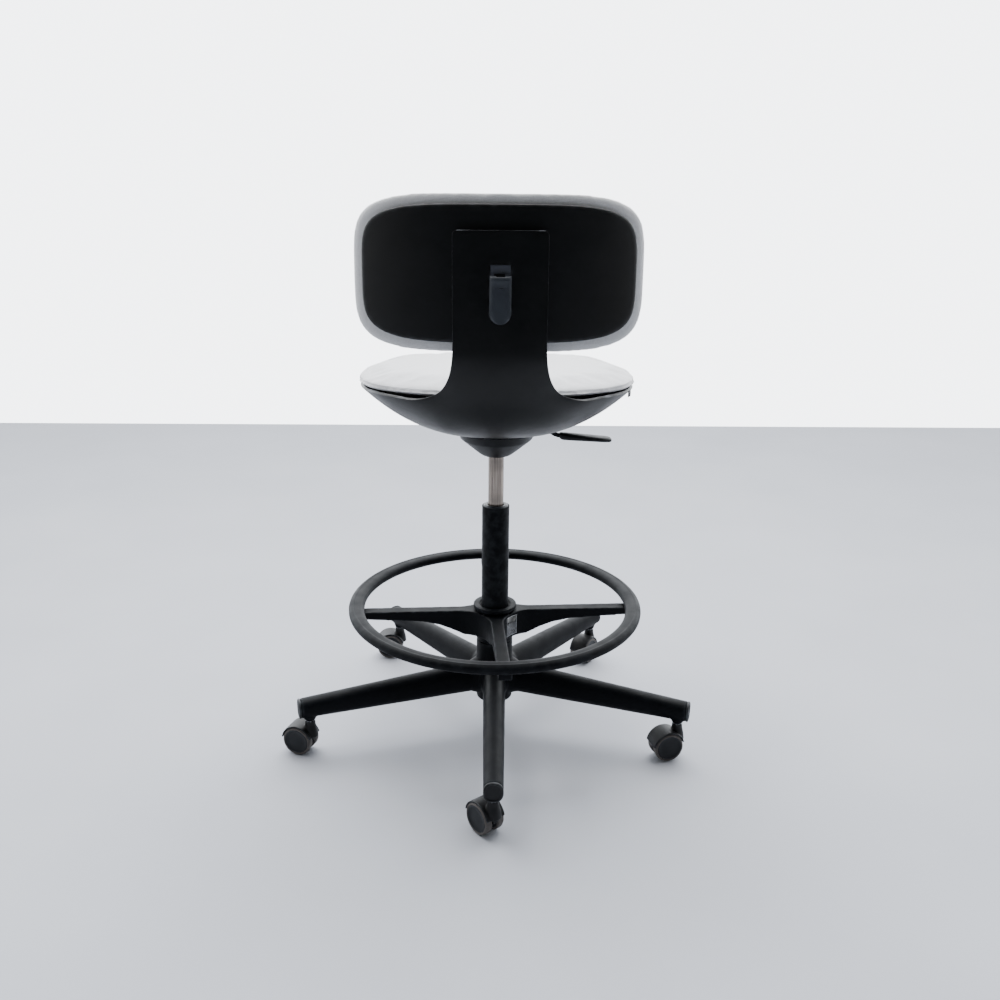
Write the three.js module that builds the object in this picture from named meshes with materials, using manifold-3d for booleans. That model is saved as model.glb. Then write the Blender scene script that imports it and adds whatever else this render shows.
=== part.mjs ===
// Drafting chair with a footring: five-star base on casters, gas lift, plastic
// seat shell that sweeps up into a tongue, and a height-adjustable backrest.
// Millimetres, +Z up. The sitter faces -Y, so +Y is the back of the chair and
// -X is the sitter's right. Everything is laid out from the foot of the lift
// column, and the whole is then moved to stand with its footprint centred.
import * as THREE from "three";
import { mergeVertices } from "three/addons/utils/BufferGeometryUtils.js";
import Module from "manifold-3d";

const wasm = await Module();
wasm.setup();

// ---------------------------------------------------------------- driving sizes

const gap = 0.3; // clearance kept between pieces that touch

// casters
const wheelRadius = 27.5;
const wheelWidth = 14;
const wheelInnerFace = 5.5; // half the web between the two wheels of a caster
const casterTrail = 21; // stem axis to axle axis
const stemRadius = 5.5;

// base
const legCount = 5;
const legTipRadius = 371;
const casterRadius = 355;
const legBottomAtHub = 81;
const legBottomAtTip = 75.5;
const legTopAtHub = 141;
const legTopAtTip = 111.5;
const legWidthAtHub = 43;
const legWidthAtTip = 33;
const hubRadius = 34;
const hubBottom = 62;
const hubTop = 184;
const baseTurn = -1; // degrees, where the base stands relative to the seat

// lift column
const tubeRadius = 25;
const tubeWall = 2;
const tubeBottom = 56;
const tubeTop = 450;
const cylinderRadius = 14;
const cylinderBore = 12.5;
const cylinderBottom = 210;
const rodRadius = 5;

// footring
const ringRadius = 258.5;
const ringHeight = 254.5;
const ringHalfWidth = 14.5;
const ringHalfHeight = 9.5;
const ringTurn = 3;
const spokeHalfWidth = 11.5;
const spokeFillet = 58; // plan radius between neighbouring spokes
const sleeveRadius = 34;
const collarRadius = 40;
const collarTop = 256;

// seat
const seatHalfWidth = 238;
const seatCentreY = -15;
const seatHalfDepth = 203; // behind the centre
const seatFrontDepth = 225; // in front of the centre
const seatRoundness = 2.3; // superellipse exponent of the outline behind the centre
const seatFrontRoundness = 2.6; // and in front of it
const seatTilt = 0.04; // rise of the rim for each millimetre towards the back
const rimHeight = 675.5; // rim height above the column axis
const shellBottom = 585.5;
const shellWall = 5;
const padHeight = 28; // crown of the seat pad above the rim

// tongue that carries the backrest
const tongueHalfWidth = 72.5;
const tongueCurve = 4; // how far its edges curl forward
const tongueRoot = new THREE.Vector3(0, 216, 775);
const tongueTop = new THREE.Vector3(0, 207, 949);

// backrest
const backCentreHeight = 884;
const backHalfWidth = 229;
const backHalfHeight = 116.5;
const backRoundness = 4.6; // superellipse exponent of the backrest outline
const backBend = 430; // radius of the backrest in plan
const panelThickness = 6;
const backPadThickness = 40;
const panelInset = 13.5;

// lift cover and mechanism under the seat
const coverBottom = 545;
const plateBottom = 618;
const leverPivot = new THREE.Vector3(-22, 0, 628);
const leverRodRadius = 4;

// ---------------------------------------------------------------- materials

function material(color, roughness, metalness) {
  return new THREE.MeshStandardMaterial({ color, roughness, metalness });
}

const blackCoat = () => material(0x25272a, 0.5, 0.4);
const blackPlastic = () => material(0x17191c, 0.6, 0);
const greyPlastic = () => material(0x353a3f, 0.5, 0);
const wheelPlastic = () => material(0x2c3036, 0.45, 0);
const lightFabric = () => material(0xdcdde0, 0.95, 0);
const warmSteel = () => material(0x9a8f84, 0.35, 1);
const zincSteel = () => material(0xa9acb0, 0.4, 1);
const labelFilm = () => material(0x24272b, 0.35, 0);

// ---------------------------------------------------------------- geometry helpers

const chair = new THREE.Group();

function place(name, geometry, finish, parent = chair) {
  const mesh = new THREE.Mesh(outward(geometry), finish);
  mesh.name = name;
  parent.add(mesh);
  return mesh;
}

// Position-only geometry with shared vertices, which is what a solid needs.
function welded(geometry) {
  const bare = geometry.index ? geometry.toNonIndexed() : geometry.clone();
  bare.deleteAttribute("normal");
  bare.deleteAttribute("uv");
  return mergeVertices(bare, 1e-3);
}

function signedVolume(geometry) {
  const position = geometry.getAttribute("position");
  const corner = [0, 1, 2].map(() => new THREE.Vector3());
  let total = 0;
  for (let i = 0; i < geometry.index.count; i += 3) {
    corner.forEach((point, k) => point.fromBufferAttribute(position, geometry.index.getX(i + k)));
    total += corner[0].dot(corner[1].cross(corner[2])) / 6;
  }
  return total;
}

// Turn every face outwards, and give the mesh normals to be seen by.
function outward(geometry) {
  const closed = welded(geometry);
  if (signedVolume(closed) < 0) {
    const order = Array.from(closed.index.array);
    for (let i = 0; i < order.length; i += 3) {
      [order[i], order[i + 1]] = [order[i + 1], order[i]];
    }
    closed.setIndex(order);
  }
  closed.computeVertexNormals();
  return closed;
}

function toSolid(geometry) {
  const closed = outward(geometry);
  const vertProperties = new Float32Array(closed.getAttribute("position").array);
  const triVerts = new Uint32Array(closed.index.array);
  return new wasm.Manifold(new wasm.Mesh({ numProp: 3, vertProperties, triVerts }));
}

function toGeometry(solid) {
  const mesh = solid.getMesh();
  const geometry = new THREE.BufferGeometry();
  geometry.setAttribute("position", new THREE.BufferAttribute(new Float32Array(mesh.vertProperties), 3));
  geometry.setIndex(Array.from(mesh.triVerts));
  return geometry;
}

function join(...pieces) {
  return toGeometry(pieces.map(toSolid).reduce((whole, piece) => whole.add(piece)));
}

function cut(body, ...tools) {
  return toGeometry(tools.map(toSolid).reduce((whole, tool) => whole.subtract(tool), toSolid(body)));
}

function overlap(first, second) {
  return toGeometry(toSolid(first).intersect(toSolid(second)));
}

// A solid turned about the Z axis from [radius, height] pairs. A profile that
// keeps off the axis is closed on itself.
function turned(profile, segments = 24) {
  const points = profile.map(([radius, height]) => new THREE.Vector2(radius, height));
  const onAxis = points[0].x === 0 && points[points.length - 1].x === 0;
  if (!onAxis) {
    points.push(points[0].clone());
  }
  return new THREE.LatheGeometry(points, segments).rotateX(Math.PI / 2);
}

function cylinderZ(radius, bottom, top, segments = 20) {
  return turned([[0, bottom], [radius, bottom], [radius, top], [0, top]], segments);
}

function tubeZ(outer, inner, bottom, top, segments = 24) {
  return turned([[inner, bottom], [outer, bottom], [outer, top], [inner, top]], segments);
}

function box(width, depth, height, x, y, z) {
  return new THREE.BoxGeometry(width, depth, height).translate(x, y, z);
}

// A closed skin through a row of rings, each a loop of the same number of points.
// A bent form has its end rings zipped side to side, so that they follow the bend.
function loft(rings, zipped = false) {
  const count = rings[0].length;
  const points = rings.flat();
  const faces = [];
  for (let i = 0; i + 1 < rings.length; i++) {
    for (let j = 0; j < count; j++) {
      const a = i * count + j;
      const b = i * count + ((j + 1) % count);
      faces.push(a, b, b + count, a, b + count, a + count);
    }
  }
  for (const [ring, flip] of [[0, true], [rings.length - 1, false]]) {
    if (zipped) {
      for (let j = 0; j < count / 2; j++) {
        const [a, b] = [j, j + 1].map((index) => ring * count + index);
        const [c, d] = [j + 1, j].map((index) => ring * count + ((count - index) % count));
        const halves = [[a, b, c], [a, c, d]].filter((face) => new Set(face).size === 3);
        halves.forEach((face) => faces.push(...(flip ? face.reverse() : face)));
      }
      continue;
    }
    const middle = rings[ring].reduce((sum, point) => sum.add(point), new THREE.Vector3());
    const hub = points.push(middle.divideScalar(count)) - 1;
    for (let j = 0; j < count; j++) {
      const a = ring * count + j;
      const b = ring * count + ((j + 1) % count);
      faces.push(...(flip ? [b, a, hub] : [a, b, hub]));
    }
  }
  return new THREE.BufferGeometry().setFromPoints(points).setIndex(faces);
}

// A wall of even thickness on a surface given as point(row, column), both from 0 to 1.
function sheet(point, rows, columns, thickness) {
  const step = 1e-3;
  const outer = [];
  const inner = [];
  for (let i = 0; i <= rows; i++) {
    for (let j = 0; j <= columns; j++) {
      const u = THREE.MathUtils.clamp(i / rows, step, 1 - step);
      const v = THREE.MathUtils.clamp(j / columns, step, 1 - step);
      const along = point(u + step, v).sub(point(u - step, v));
      const across = point(u, v + step).sub(point(u, v - step));
      const normal = along.cross(across).normalize(); // away from the inside
      const here = point(i / rows, j / columns);
      outer.push(here);
      inner.push(here.clone().addScaledVector(normal, -thickness));
    }
  }
  const width = columns + 1;
  const shift = outer.length;
  const faces = [];
  const quad = (a, b, c, d) => faces.push(a, b, c, a, c, d);
  for (let i = 0; i < rows; i++) {
    for (let j = 0; j < columns; j++) {
      const a = i * width + j;
      quad(a, a + width, a + width + 1, a + 1);
      quad(a + shift, a + 1 + shift, a + width + 1 + shift, a + width + shift);
    }
    const left = i * width;
    const right = left + columns;
    quad(left, left + shift, left + width + shift, left + width);
    quad(right, right + width, right + width + shift, right + shift);
  }
  for (let j = 0; j < columns; j++) {
    const last = rows * width + j;
    quad(j, j + 1, j + 1 + shift, j + shift);
    quad(last, last + shift, last + 1 + shift, last + 1);
  }
  return new THREE.BufferGeometry().setFromPoints([...outer, ...inner]).setIndex(faces);
}

// A round bar through a list of points.
function bar(points, radius, steps, sides = 10) {
  const section = new THREE.Shape().absarc(0, 0, radius, 0, 2 * Math.PI);
  return new THREE.ExtrudeGeometry(section, {
    steps,
    curveSegments: sides,
    extrudePath: new THREE.CatmullRomCurve3(points, false, "centripetal"),
    bevelEnabled: false,
  });
}

// An outline in the XZ plane, given thickness along Y about y = 0.
function plateXZ(outline, thickness, curveSegments = 6) {
  const slab = new THREE.ExtrudeGeometry(outline, {
    depth: thickness,
    bevelEnabled: false,
    curveSegments,
  });
  return slab.translate(0, 0, -thickness / 2).rotateX(Math.PI / 2);
}

const radians = THREE.MathUtils.degToRad;

// Distance from the centre to a superellipse, at an angle from +X.
function superRadius(angle, halfX, halfY, exponent) {
  const c = Math.abs(Math.cos(angle) / halfX) ** exponent;
  const s = Math.abs(Math.sin(angle) / halfY) ** exponent;
  return (c + s) ** (-1 / exponent);
}

// ---------------------------------------------------------------- base

const rootRadius = 20; // where the legs start, inside the hub
const legAngle = (index) => radians(90 + baseTurn + (360 / legCount) * index);
const legSpan = (radius) => (radius - rootRadius) / (legTipRadius - rootRadius);

// One oval section of a leg that points along +X, grown or shrunk by an offset.
function legSection(radius, offset) {
  const t = legSpan(radius);
  const bottom = THREE.MathUtils.lerp(legBottomAtHub, legBottomAtTip, t) - offset;
  const top = THREE.MathUtils.lerp(legTopAtHub, legTopAtTip, t) + offset;
  const halfWidth = THREE.MathUtils.lerp(legWidthAtHub, legWidthAtTip, t) / 2 + offset;
  const ring = [];
  const sides = 14;
  for (let i = 0; i < sides; i++) {
    const angle = (2 * Math.PI * i) / sides;
    const reach = superRadius(angle, halfWidth, (top - bottom) / 2, 2.4);
    ring.push(new THREE.Vector3(
      radius,
      reach * Math.cos(angle),
      (top + bottom) / 2 + reach * Math.sin(angle),
    ));
  }
  return ring;
}

const plugDepth = 7;
const plugWall = 3;

function makeLeg() {
  const body = loft([legSection(rootRadius, 0), legSection(legTipRadius, 0)]);
  const mouth = [legTipRadius - plugDepth - 1, legTipRadius + 1];
  const recess = loft(mouth.map((radius) => legSection(radius, -plugWall)));
  const socket = cylinderZ(stemRadius + gap, 60, 98, 12).translate(casterRadius, 0, 0);
  return cut(body, recess, socket);
}

function makeBase() {
  const leg = makeLeg();
  const legs = [];
  for (let i = 0; i < legCount; i++) {
    legs.push(leg.clone().rotateZ(legAngle(i)));
  }
  const hub = cylinderZ(hubRadius, hubBottom, hubTop, 24);
  const bore = cylinderZ(tubeRadius + 2 * gap, hubBottom - 1, hubTop + 1, 24);
  return cut(join(hub, ...legs), bore);
}

function makeLegPlug() {
  const spigot = loft(
    [legTipRadius - plugDepth, legTipRadius + 1].map((radius) => legSection(radius, -plugWall - gap)),
  );
  const cap = loft([
    legSection(legTipRadius + gap, 0),
    legSection(legTipRadius + 3, 0),
    legSection(legTipRadius + 4.5, -2),
  ]);
  return join(spigot, cap);
}

place("five_star_base", makeBase(), blackCoat());
const plug = makeLegPlug();
for (let i = 0; i < legCount; i++) {
  place(`leg_plug_${i + 1}`, plug.clone().rotateZ(legAngle(i)), blackPlastic());
}

// ---------------------------------------------------------------- lift column

const bushTop = tubeTop + 1.5;
const bushBottom = tubeTop - 75;
const tubeFloor = tubeBottom + 3;
const pistonHeight = 400;
const cylinderTop = 606;

// Outer tube, closed at the bottom except for the hole that the rod passes.
function makeStandTube() {
  return turned([
    [rodRadius + 1, tubeBottom],
    [tubeRadius, tubeBottom],
    [tubeRadius, tubeTop - 1],
    [tubeRadius - 1, tubeTop],
    [tubeRadius - tubeWall, tubeTop],
    [tubeRadius - tubeWall, tubeFloor],
    [rodRadius + 1, tubeFloor],
  ], 24);
}

function makeGuideBush() {
  const outer = tubeRadius - tubeWall - gap;
  const inner = cylinderRadius + gap;
  return turned([
    [inner, bushBottom],
    [outer, bushBottom],
    [outer, bushTop],
    [outer - 1, bushTop + 1],
    [inner, bushTop + 1],
  ], 24);
}

// Pressure tube: open below for the rod, and tapered above into the mechanism.
function makeGasCylinder() {
  const taperStart = coverBottom + 18;
  const taperRadius = cylinderRadius - 1;
  return turned([
    [rodRadius + 1, cylinderBottom],
    [cylinderRadius, cylinderBottom],
    [cylinderRadius, taperStart],
    [taperRadius, cylinderTop],
    [4, cylinderTop],
    [4, cylinderTop - 12],
    [cylinderBore, cylinderTop - 16],
    [cylinderBore, cylinderBottom + 12],
    [rodRadius + 1, cylinderBottom + 12],
  ], 24);
}

function makePistonRod() {
  const groove = tubeBottom - 8;
  return turned([
    [0, groove - 4],
    [rodRadius, groove - 4],
    [rodRadius, groove],
    [rodRadius - 1.2, groove],
    [rodRadius - 1.2, groove + 2],
    [rodRadius, groove + 2],
    [rodRadius, pistonHeight],
    [cylinderBore - gap, pistonHeight],
    [cylinderBore - gap, pistonHeight + 12],
    [0, pistonHeight + 12],
  ], 16);
}

function makeThrustBearing() {
  return tubeZ(14, rodRadius + gap, tubeFloor + gap, tubeFloor + 8, 16);
}

// Spring clip in the groove at the foot of the rod, open on one side.
function makeRetainingClip() {
  const groove = tubeBottom - 8;
  const outline = new THREE.Shape();
  const mouth = radians(35);
  outline.absarc(0, 0, 9, mouth, 2 * Math.PI - mouth, false);
  outline.absarc(0, 0, rodRadius - 1.2 + gap, 2 * Math.PI - mouth, mouth, true);
  const clip = new THREE.ExtrudeGeometry(outline, { depth: 1.4, bevelEnabled: false, curveSegments: 10 });
  return clip.translate(0, 0, groove + gap);
}

place("stand_tube", makeStandTube(), blackCoat());
place("guide_bush", makeGuideBush(), greyPlastic());
place("thrust_bearing", makeThrustBearing(), zincSteel());
place("retaining_clip", makeRetainingClip(), zincSteel());
place("piston_rod", makePistonRod(), zincSteel());
place("gas_cylinder", makeGasCylinder(), warmSteel());

// ---------------------------------------------------------------- footring

const spokeTop = ringHeight - ringHalfHeight + 0.5; // the ring sits on its spokes
const spokeEnd = ringRadius + 4;
const sleeveBottom = hubTop + 1;
const filletCentre = spokeHalfWidth + spokeFillet;

// Oval section of the ring.
function ringProfile() {
  const points = [];
  const sides = 10;
  for (let i = 0; i < sides; i++) {
    const angle = (2 * Math.PI * i) / sides;
    const reach = superRadius(angle, ringHalfWidth, ringHalfHeight, 2.5);
    points.push([ringRadius + reach * Math.cos(angle), ringHeight + reach * Math.sin(angle)]);
  }
  return points;
}

// Plan of the four spokes: a cross with wide hollow fillets at its middle.
function crossOutline() {
  const points = [];
  const steps = 7;
  for (let quarter = 0; quarter < 4; quarter++) {
    const turn = (quarter * Math.PI) / 2;
    const corner = [-1, 1].map((side) => new THREE.Vector2(spokeEnd, side * spokeHalfWidth));
    for (let i = 0; i <= steps; i++) {
      const angle = -Math.PI / 2 - ((Math.PI / 2) * i) / steps;
      corner.push(new THREE.Vector2(
        filletCentre + spokeFillet * Math.cos(angle),
        filletCentre + spokeFillet * Math.sin(angle),
      ));
    }
    corner.forEach((point) => points.push(point.rotateAround(new THREE.Vector2(), turn)));
  }
  return new THREE.Shape(points);
}

// The spokes are level on top, deep at the sleeve and thin at the ring.
function makeSpokes() {
  const height = spokeTop - sleeveBottom;
  const cross = new THREE.ExtrudeGeometry(crossOutline(), { depth: height, bevelEnabled: false });
  cross.translate(0, 0, sleeveBottom);
  const depth = turned([
    [tubeRadius - 2, spokeTop - 49],
    [spokeHalfWidth + 49, spokeTop - 48],
    [84, spokeTop - 36],
    [107, spokeTop - 27],
    [140, spokeTop - 20],
    [spokeEnd + 4, spokeTop - 13],
    [spokeEnd + 4, spokeTop + 1],
    [tubeRadius - 2, spokeTop + 1],
  ], 48);
  return overlap(cross, depth);
}

function makeFootring() {
  const ring = turned(ringProfile(), 44);
  const sleeve = tubeZ(sleeveRadius, tubeRadius - 2, sleeveBottom, spokeTop);
  const bore = cylinderZ(tubeRadius + 2 * gap, hubTop - 1, collarTop + 1, 24);
  return cut(join(ring, sleeve, makeSpokes()), bore).rotateZ(radians(90 + ringTurn));
}

// Flanged clamp that holds the footring down on the tube.
function makeCollar() {
  const neckRadius = collarRadius - 4;
  const flangeBottom = collarTop - 7;
  return turned([
    [tubeRadius + 2 * gap, spokeTop + gap],
    [neckRadius, spokeTop + gap],
    [neckRadius, flangeBottom],
    [collarRadius, flangeBottom],
    [collarRadius, collarTop - 1],
    [collarRadius - 1, collarTop],
    [tubeRadius + 5, collarTop],
    [tubeRadius + 3, collarTop - 3],
    [tubeRadius + 2 * gap, collarTop - 3],
  ], 24);
}

// Blank self-adhesive label in the hollow between two spokes.
function makeLabel() {
  const onWall = spokeFillet - 3 * gap; // clear of the flat facets of the wall
  const halfTurn = radians(14);
  const toSleeve = radians(225);
  const outline = new THREE.Shape();
  outline.absarc(filletCentre, filletCentre, onWall, toSleeve - halfTurn, toSleeve + halfTurn, false);
  outline.absarc(filletCentre, filletCentre, onWall - 0.4, toSleeve + halfTurn, toSleeve - halfTurn, true);
  const label = new THREE.ExtrudeGeometry(outline, { depth: 38, bevelEnabled: false, curveSegments: 7 });
  return label.translate(0, 0, spokeTop - 43).rotateZ(radians(90 + ringTurn));
}

place("footring", makeFootring(), blackCoat());
place("footring_collar", makeCollar(), blackCoat());
place("footring_label", makeLabel(), labelFilm());

// ---------------------------------------------------------------- casters

// Swivel of each caster, the direction from its stem to its axle, in degrees.
const casterHeading = [308, 15, 54, 2, 340];
const hoodReach = wheelRadius + 3;
const hoodHalfWidth = wheelInnerFace + wheelWidth - 1;

// Web between the wheels, hood over their tread, and the boss round the stem,
// with the axle at the origin.
function makeHood() {
  const side = new THREE.Shape();
  side.absarc(0, 0, wheelRadius + 1, radians(0), radians(180), false);
  side.lineTo(0, -9);
  const web = plateXZ(side, 2 * (wheelInnerFace - gap), 3);
  const arch = new THREE.Shape();
  arch.absarc(0, 0, hoodReach, radians(12), radians(160), false);
  arch.absarc(0, 0, wheelRadius + 0.8, radians(160), radians(12), true);
  const cover = plateXZ(arch, 2 * hoodHalfWidth, 3);
  const bossTop = 65 - wheelRadius;
  const boss = cylinderZ(11, 12, bossTop, 12).translate(-casterTrail, 0, 0);
  const pinHole = cylinderZ(stemRadius + 0.7, 14, bossTop + 1, 10).translate(-casterTrail, 0, 0);
  const axleHole = cylinderZ(3.5, -20, 20, 8).rotateX(Math.PI / 2);
  const clearance = [-1, 1].map((face) =>
    cylinderZ(wheelRadius + 1.5, wheelInnerFace - gap, 30, 14).rotateX((face * Math.PI) / 2));
  return cut(join(web, cover, boss), pinHole, axleHole, ...clearance);
}

// A wheel with its tread, rounded shoulder and shallow dished face, its axle along Z.
function makeWheel() {
  const profile = [
    [3.4, 0],
    [wheelRadius - 1, 0],
    [wheelRadius, 1.5],
    [wheelRadius, wheelWidth - 3],
    [wheelRadius - 2, wheelWidth - 1],
    [wheelRadius - 7, wheelWidth],
    [3.4, wheelWidth - 1],
  ];
  return turned(profile, 16).translate(0, 0, wheelInnerFace);
}

const hood = makeHood();
const wheel = makeWheel();
const axle = cylinderZ(3, -15, 15, 8).rotateX(Math.PI / 2);
const stem = turned([
  [0, 49],
  [stemRadius, 49],
  [stemRadius, 66],
  [9, 66],
  [9, 68.5],
  [stemRadius, 70],
  [stemRadius, 92],
  [0, 94],
], 10);

for (let i = 0; i < legCount; i++) {
  const caster = new THREE.Group();
  caster.position.set(casterRadius * Math.cos(legAngle(i)), casterRadius * Math.sin(legAngle(i)), 0);
  caster.rotation.z = radians(casterHeading[i]);
  chair.add(caster);
  const shift = (geometry) => geometry.clone().translate(casterTrail, 0, wheelRadius);
  place(`caster_stem_${i + 1}`, stem, zincSteel(), caster);
  place(`caster_hood_${i + 1}`, shift(hood), blackPlastic(), caster);
  place(`caster_axle_${i + 1}`, shift(axle), zincSteel(), caster);
  for (const [side, turn] of [["left", -1], ["right", 1]]) {
    const mounted = wheel.clone().rotateX((turn * Math.PI) / 2);
    place(`caster_wheel_${side}_${i + 1}`, shift(mounted), wheelPlastic(), caster);
  }
}

// ---------------------------------------------------------------- seat shell and tongue

const rimAt = (y) => rimHeight + seatTilt * y;

// Half outline of the seat, from an angle measured at its centre.
function seatOutline(angle, inset) {
  const front = Math.sin(angle) < 0;
  const halfDepth = (front ? seatFrontDepth : seatHalfDepth) - inset;
  const roundness = front ? seatFrontRoundness : seatRoundness;
  const reach = superRadius(angle, seatHalfWidth - inset, halfDepth, roundness);
  return [reach * Math.cos(angle), seatCentreY + reach * Math.sin(angle)];
}

// Edge line of the shell on the +X side: round the rim, then up the tongue.
function shellEdge() {
  const points = [];
  for (let degrees = -62; degrees <= 53; degrees += 11.5) {
    const [x, y] = seatOutline(radians(degrees), 0);
    points.push(new THREE.Vector3(x, y, rimAt(y)));
  }
  const fillet = [
    [97, 181, 697],
    [82, 198, 719],
    [75, 210, 745],
  ];
  fillet.forEach(([x, y, z]) => points.push(new THREE.Vector3(x, y, z)));
  for (const t of [0, 0.33, 0.67, 1]) {
    const point = tongueRoot.clone().lerp(tongueTop, t);
    points.push(new THREE.Vector3(tongueHalfWidth, point.y - tongueCurve, point.z));
  }
  return new THREE.CatmullRomCurve3(points, false, "centripetal");
}

// Centre line of the shell, from the front lip, under the seat and up the tongue.
function shellCentre() {
  const front = new THREE.Vector3(0, seatCentreY - seatFrontDepth + 2, rimAt(-seatFrontDepth) - 1);
  const low = new THREE.Vector3(0, 5, shellBottom);
  const lean = tongueTop.clone().sub(tongueRoot).normalize();
  const path = new THREE.CurvePath();
  path.add(new THREE.CubicBezierCurve3(
    front,
    new THREE.Vector3(0, front.y + 14, front.z - 52),
    new THREE.Vector3(0, low.y - 120, low.z),
    low,
  ));
  path.add(new THREE.CubicBezierCurve3(
    low,
    new THREE.Vector3(0, low.y + 115, low.z),
    tongueRoot.clone().addScaledVector(lean, -115),
    tongueRoot,
  ));
  path.add(new THREE.LineCurve3(tongueRoot, tongueTop));
  return path;
}

const shellCrown = 2.45; // how quickly the bowl steepens towards its edge
const edgeLine = shellEdge();
const centreLine = shellCentre();

function shellPoint(u, v) {
  const t = 2 * v - 1;
  const edge = edgeLine.getPointAt(u);
  const centre = centreLine.getPointAt(u);
  const lift = Math.abs(t) ** shellCrown;
  return new THREE.Vector3(
    t * edge.x,
    centre.y + (edge.y - centre.y) * lift,
    centre.z + (edge.z - centre.z) * lift,
  );
}

const slotHalfWidth = 15.5;
const slotBottom = 822;
const slotTop = 899;
const backTilt = Math.atan2(tongueRoot.y - tongueTop.y, tongueTop.z - tongueRoot.z);

// Places something made upright at y = 0 against the back face of the tongue,
// with its height kept, so that it leans as the tongue does.
function onTongue(geometry) {
  const lean = new THREE.Matrix4().makeRotationX(backTilt);
  const down = new THREE.Matrix4().makeTranslation(0, 0, -tongueTop.z);
  const back = new THREE.Matrix4().makeTranslation(0, tongueTop.y, tongueTop.z);
  return geometry.clone().applyMatrix4(down).applyMatrix4(lean).applyMatrix4(back);
}

function makeSeatShell() {
  const skin = sheet(shellPoint, 24, 12, shellWall);
  const slotHeight = slotTop - slotBottom;
  const slot = onTongue(box(2 * slotHalfWidth, 40, slotHeight, 0, 0, (slotTop + slotBottom) / 2));
  const bossHole = cylinderZ(27, shellBottom - 20, shellBottom + 40, 32);
  const leverHole = box(40, 14, 60, -100, 0, shellBottom + 18);
  return cut(skin, slot, bossHole, leverHole);
}

place("seat_shell", makeSeatShell(), blackPlastic());

// ---------------------------------------------------------------- seat pan and pad

// A closed form whose rings follow the seat outline: each entry is an inset from
// the rim and a height above it.
function seatForm(profile, sides = 30) {
  const rings = profile.map(([inset, height]) => {
    const ring = [];
    for (let i = 0; i < sides; i++) {
      const [x, y] = seatOutline((2 * Math.PI * i) / sides, inset);
      const pull = y > seatCentreY ? (backPull * (y - seatCentreY)) / seatHalfDepth : 0;
      ring.push(new THREE.Vector3(x, y - pull, rimAt(y) + height));
    }
    return ring;
  });
  return loft(rings);
}

const backPull = 16; // how far the pad stays in front of the tongue
const panBottom = -22; // underside of the pan, from the height of the rim
const panTop = -14;
const panLip = 4.6; // top of the pan's lip over the rim

// Shallow dish that carries the pad; its lip stands just over the rim of the shell.
function makeSeatPan() {
  return seatForm([
    [180, panBottom],
    [64, panBottom],
    [46, panBottom + 3],
    [24, 2.4],
    [6.5, 2.4],
    [5.5, 3.5],
    [6.5, panLip],
    [24, panLip],
    [46, panTop + 2],
    [64, panTop],
    [180, panTop],
  ]);
}

function makeSeatPad() {
  return seatForm([
    [180, panTop + 1],
    [64, panTop + 1],
    [46, panTop + 3],
    [24, panLip + 1],
    [2.5, panLip + 1],
    [0, 9.5],
    [3, 16],
    [12, 21.5],
    [30, 24.5],
    [90, padHeight - 0.5],
    [185, padHeight],
  ]);
}

// Small blank textile tag sewn into the seam of the pad, hanging over the rim.
function makeSeatTag() {
  const turn = radians(180 - 24);
  const [x, y] = seatOutline(turn, -3.6);
  return box(1, 14, 11, 0, 0, 0).rotateZ(turn + radians(4)).translate(x, y, rimAt(y) - 2);
}

place("seat_pan", makeSeatPan(), blackPlastic());
place("seat_pad", makeSeatPad(), lightFabric());
place("seat_tag", makeSeatTag(), blackPlastic());

// ---------------------------------------------------------------- mechanism and its cover

const plateTop = plateBottom + 3;
const panUnderside = rimAt(0) + panBottom;
const boltSpacing = 62;
const boltRadius = 3;
const pillarRadius = 8;
const pillarPlay = 0.8; // the pan slopes a little, so the flat pillars stay just under it
const leverPinRadius = 2.2;

// Height of the shell's underside over a point near the middle of the seat.
function undersideAt(x, y) {
  let low = 0;
  let high = 0.75;
  let point = shellPoint(low, 0.5);
  for (let i = 0; i < 30; i++) {
    const u = (low + high) / 2;
    point = shellPoint(u, 0.5 + (0.5 * x) / edgeLine.getPointAt(u).x);
    if (point.y < y) {
      low = u;
    } else {
      high = u;
    }
  }
  return point.z;
}

// Flared cover round the mechanism boss, its wide end shaped to the shell above.
function makeCover() {
  const sides = 24;
  const circle = (radius, height) => {
    const ring = [];
    for (let i = 0; i < sides; i++) {
      const angle = (2 * Math.PI * i) / sides;
      const x = radius * Math.cos(angle);
      const y = radius * Math.sin(angle);
      ring.push(new THREE.Vector3(x, y, height ?? undersideAt(x, y) - 2.5));
    }
    return ring;
  };
  const outside = loft([
    circle(18, coverBottom),
    circle(27, coverBottom + 3),
    circle(34, coverBottom + 8),
    circle(62, coverBottom + 31),
    circle(70),
  ]);
  const inside = loft([
    circle(30, coverBottom + 8),
    circle(59, coverBottom + 32),
    circle(67, coverBottom + 60),
  ]);
  return cut(outside, inside, cylinderZ(cylinderRadius + 1, coverBottom - 1, coverBottom + 20, 24));
}

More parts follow.
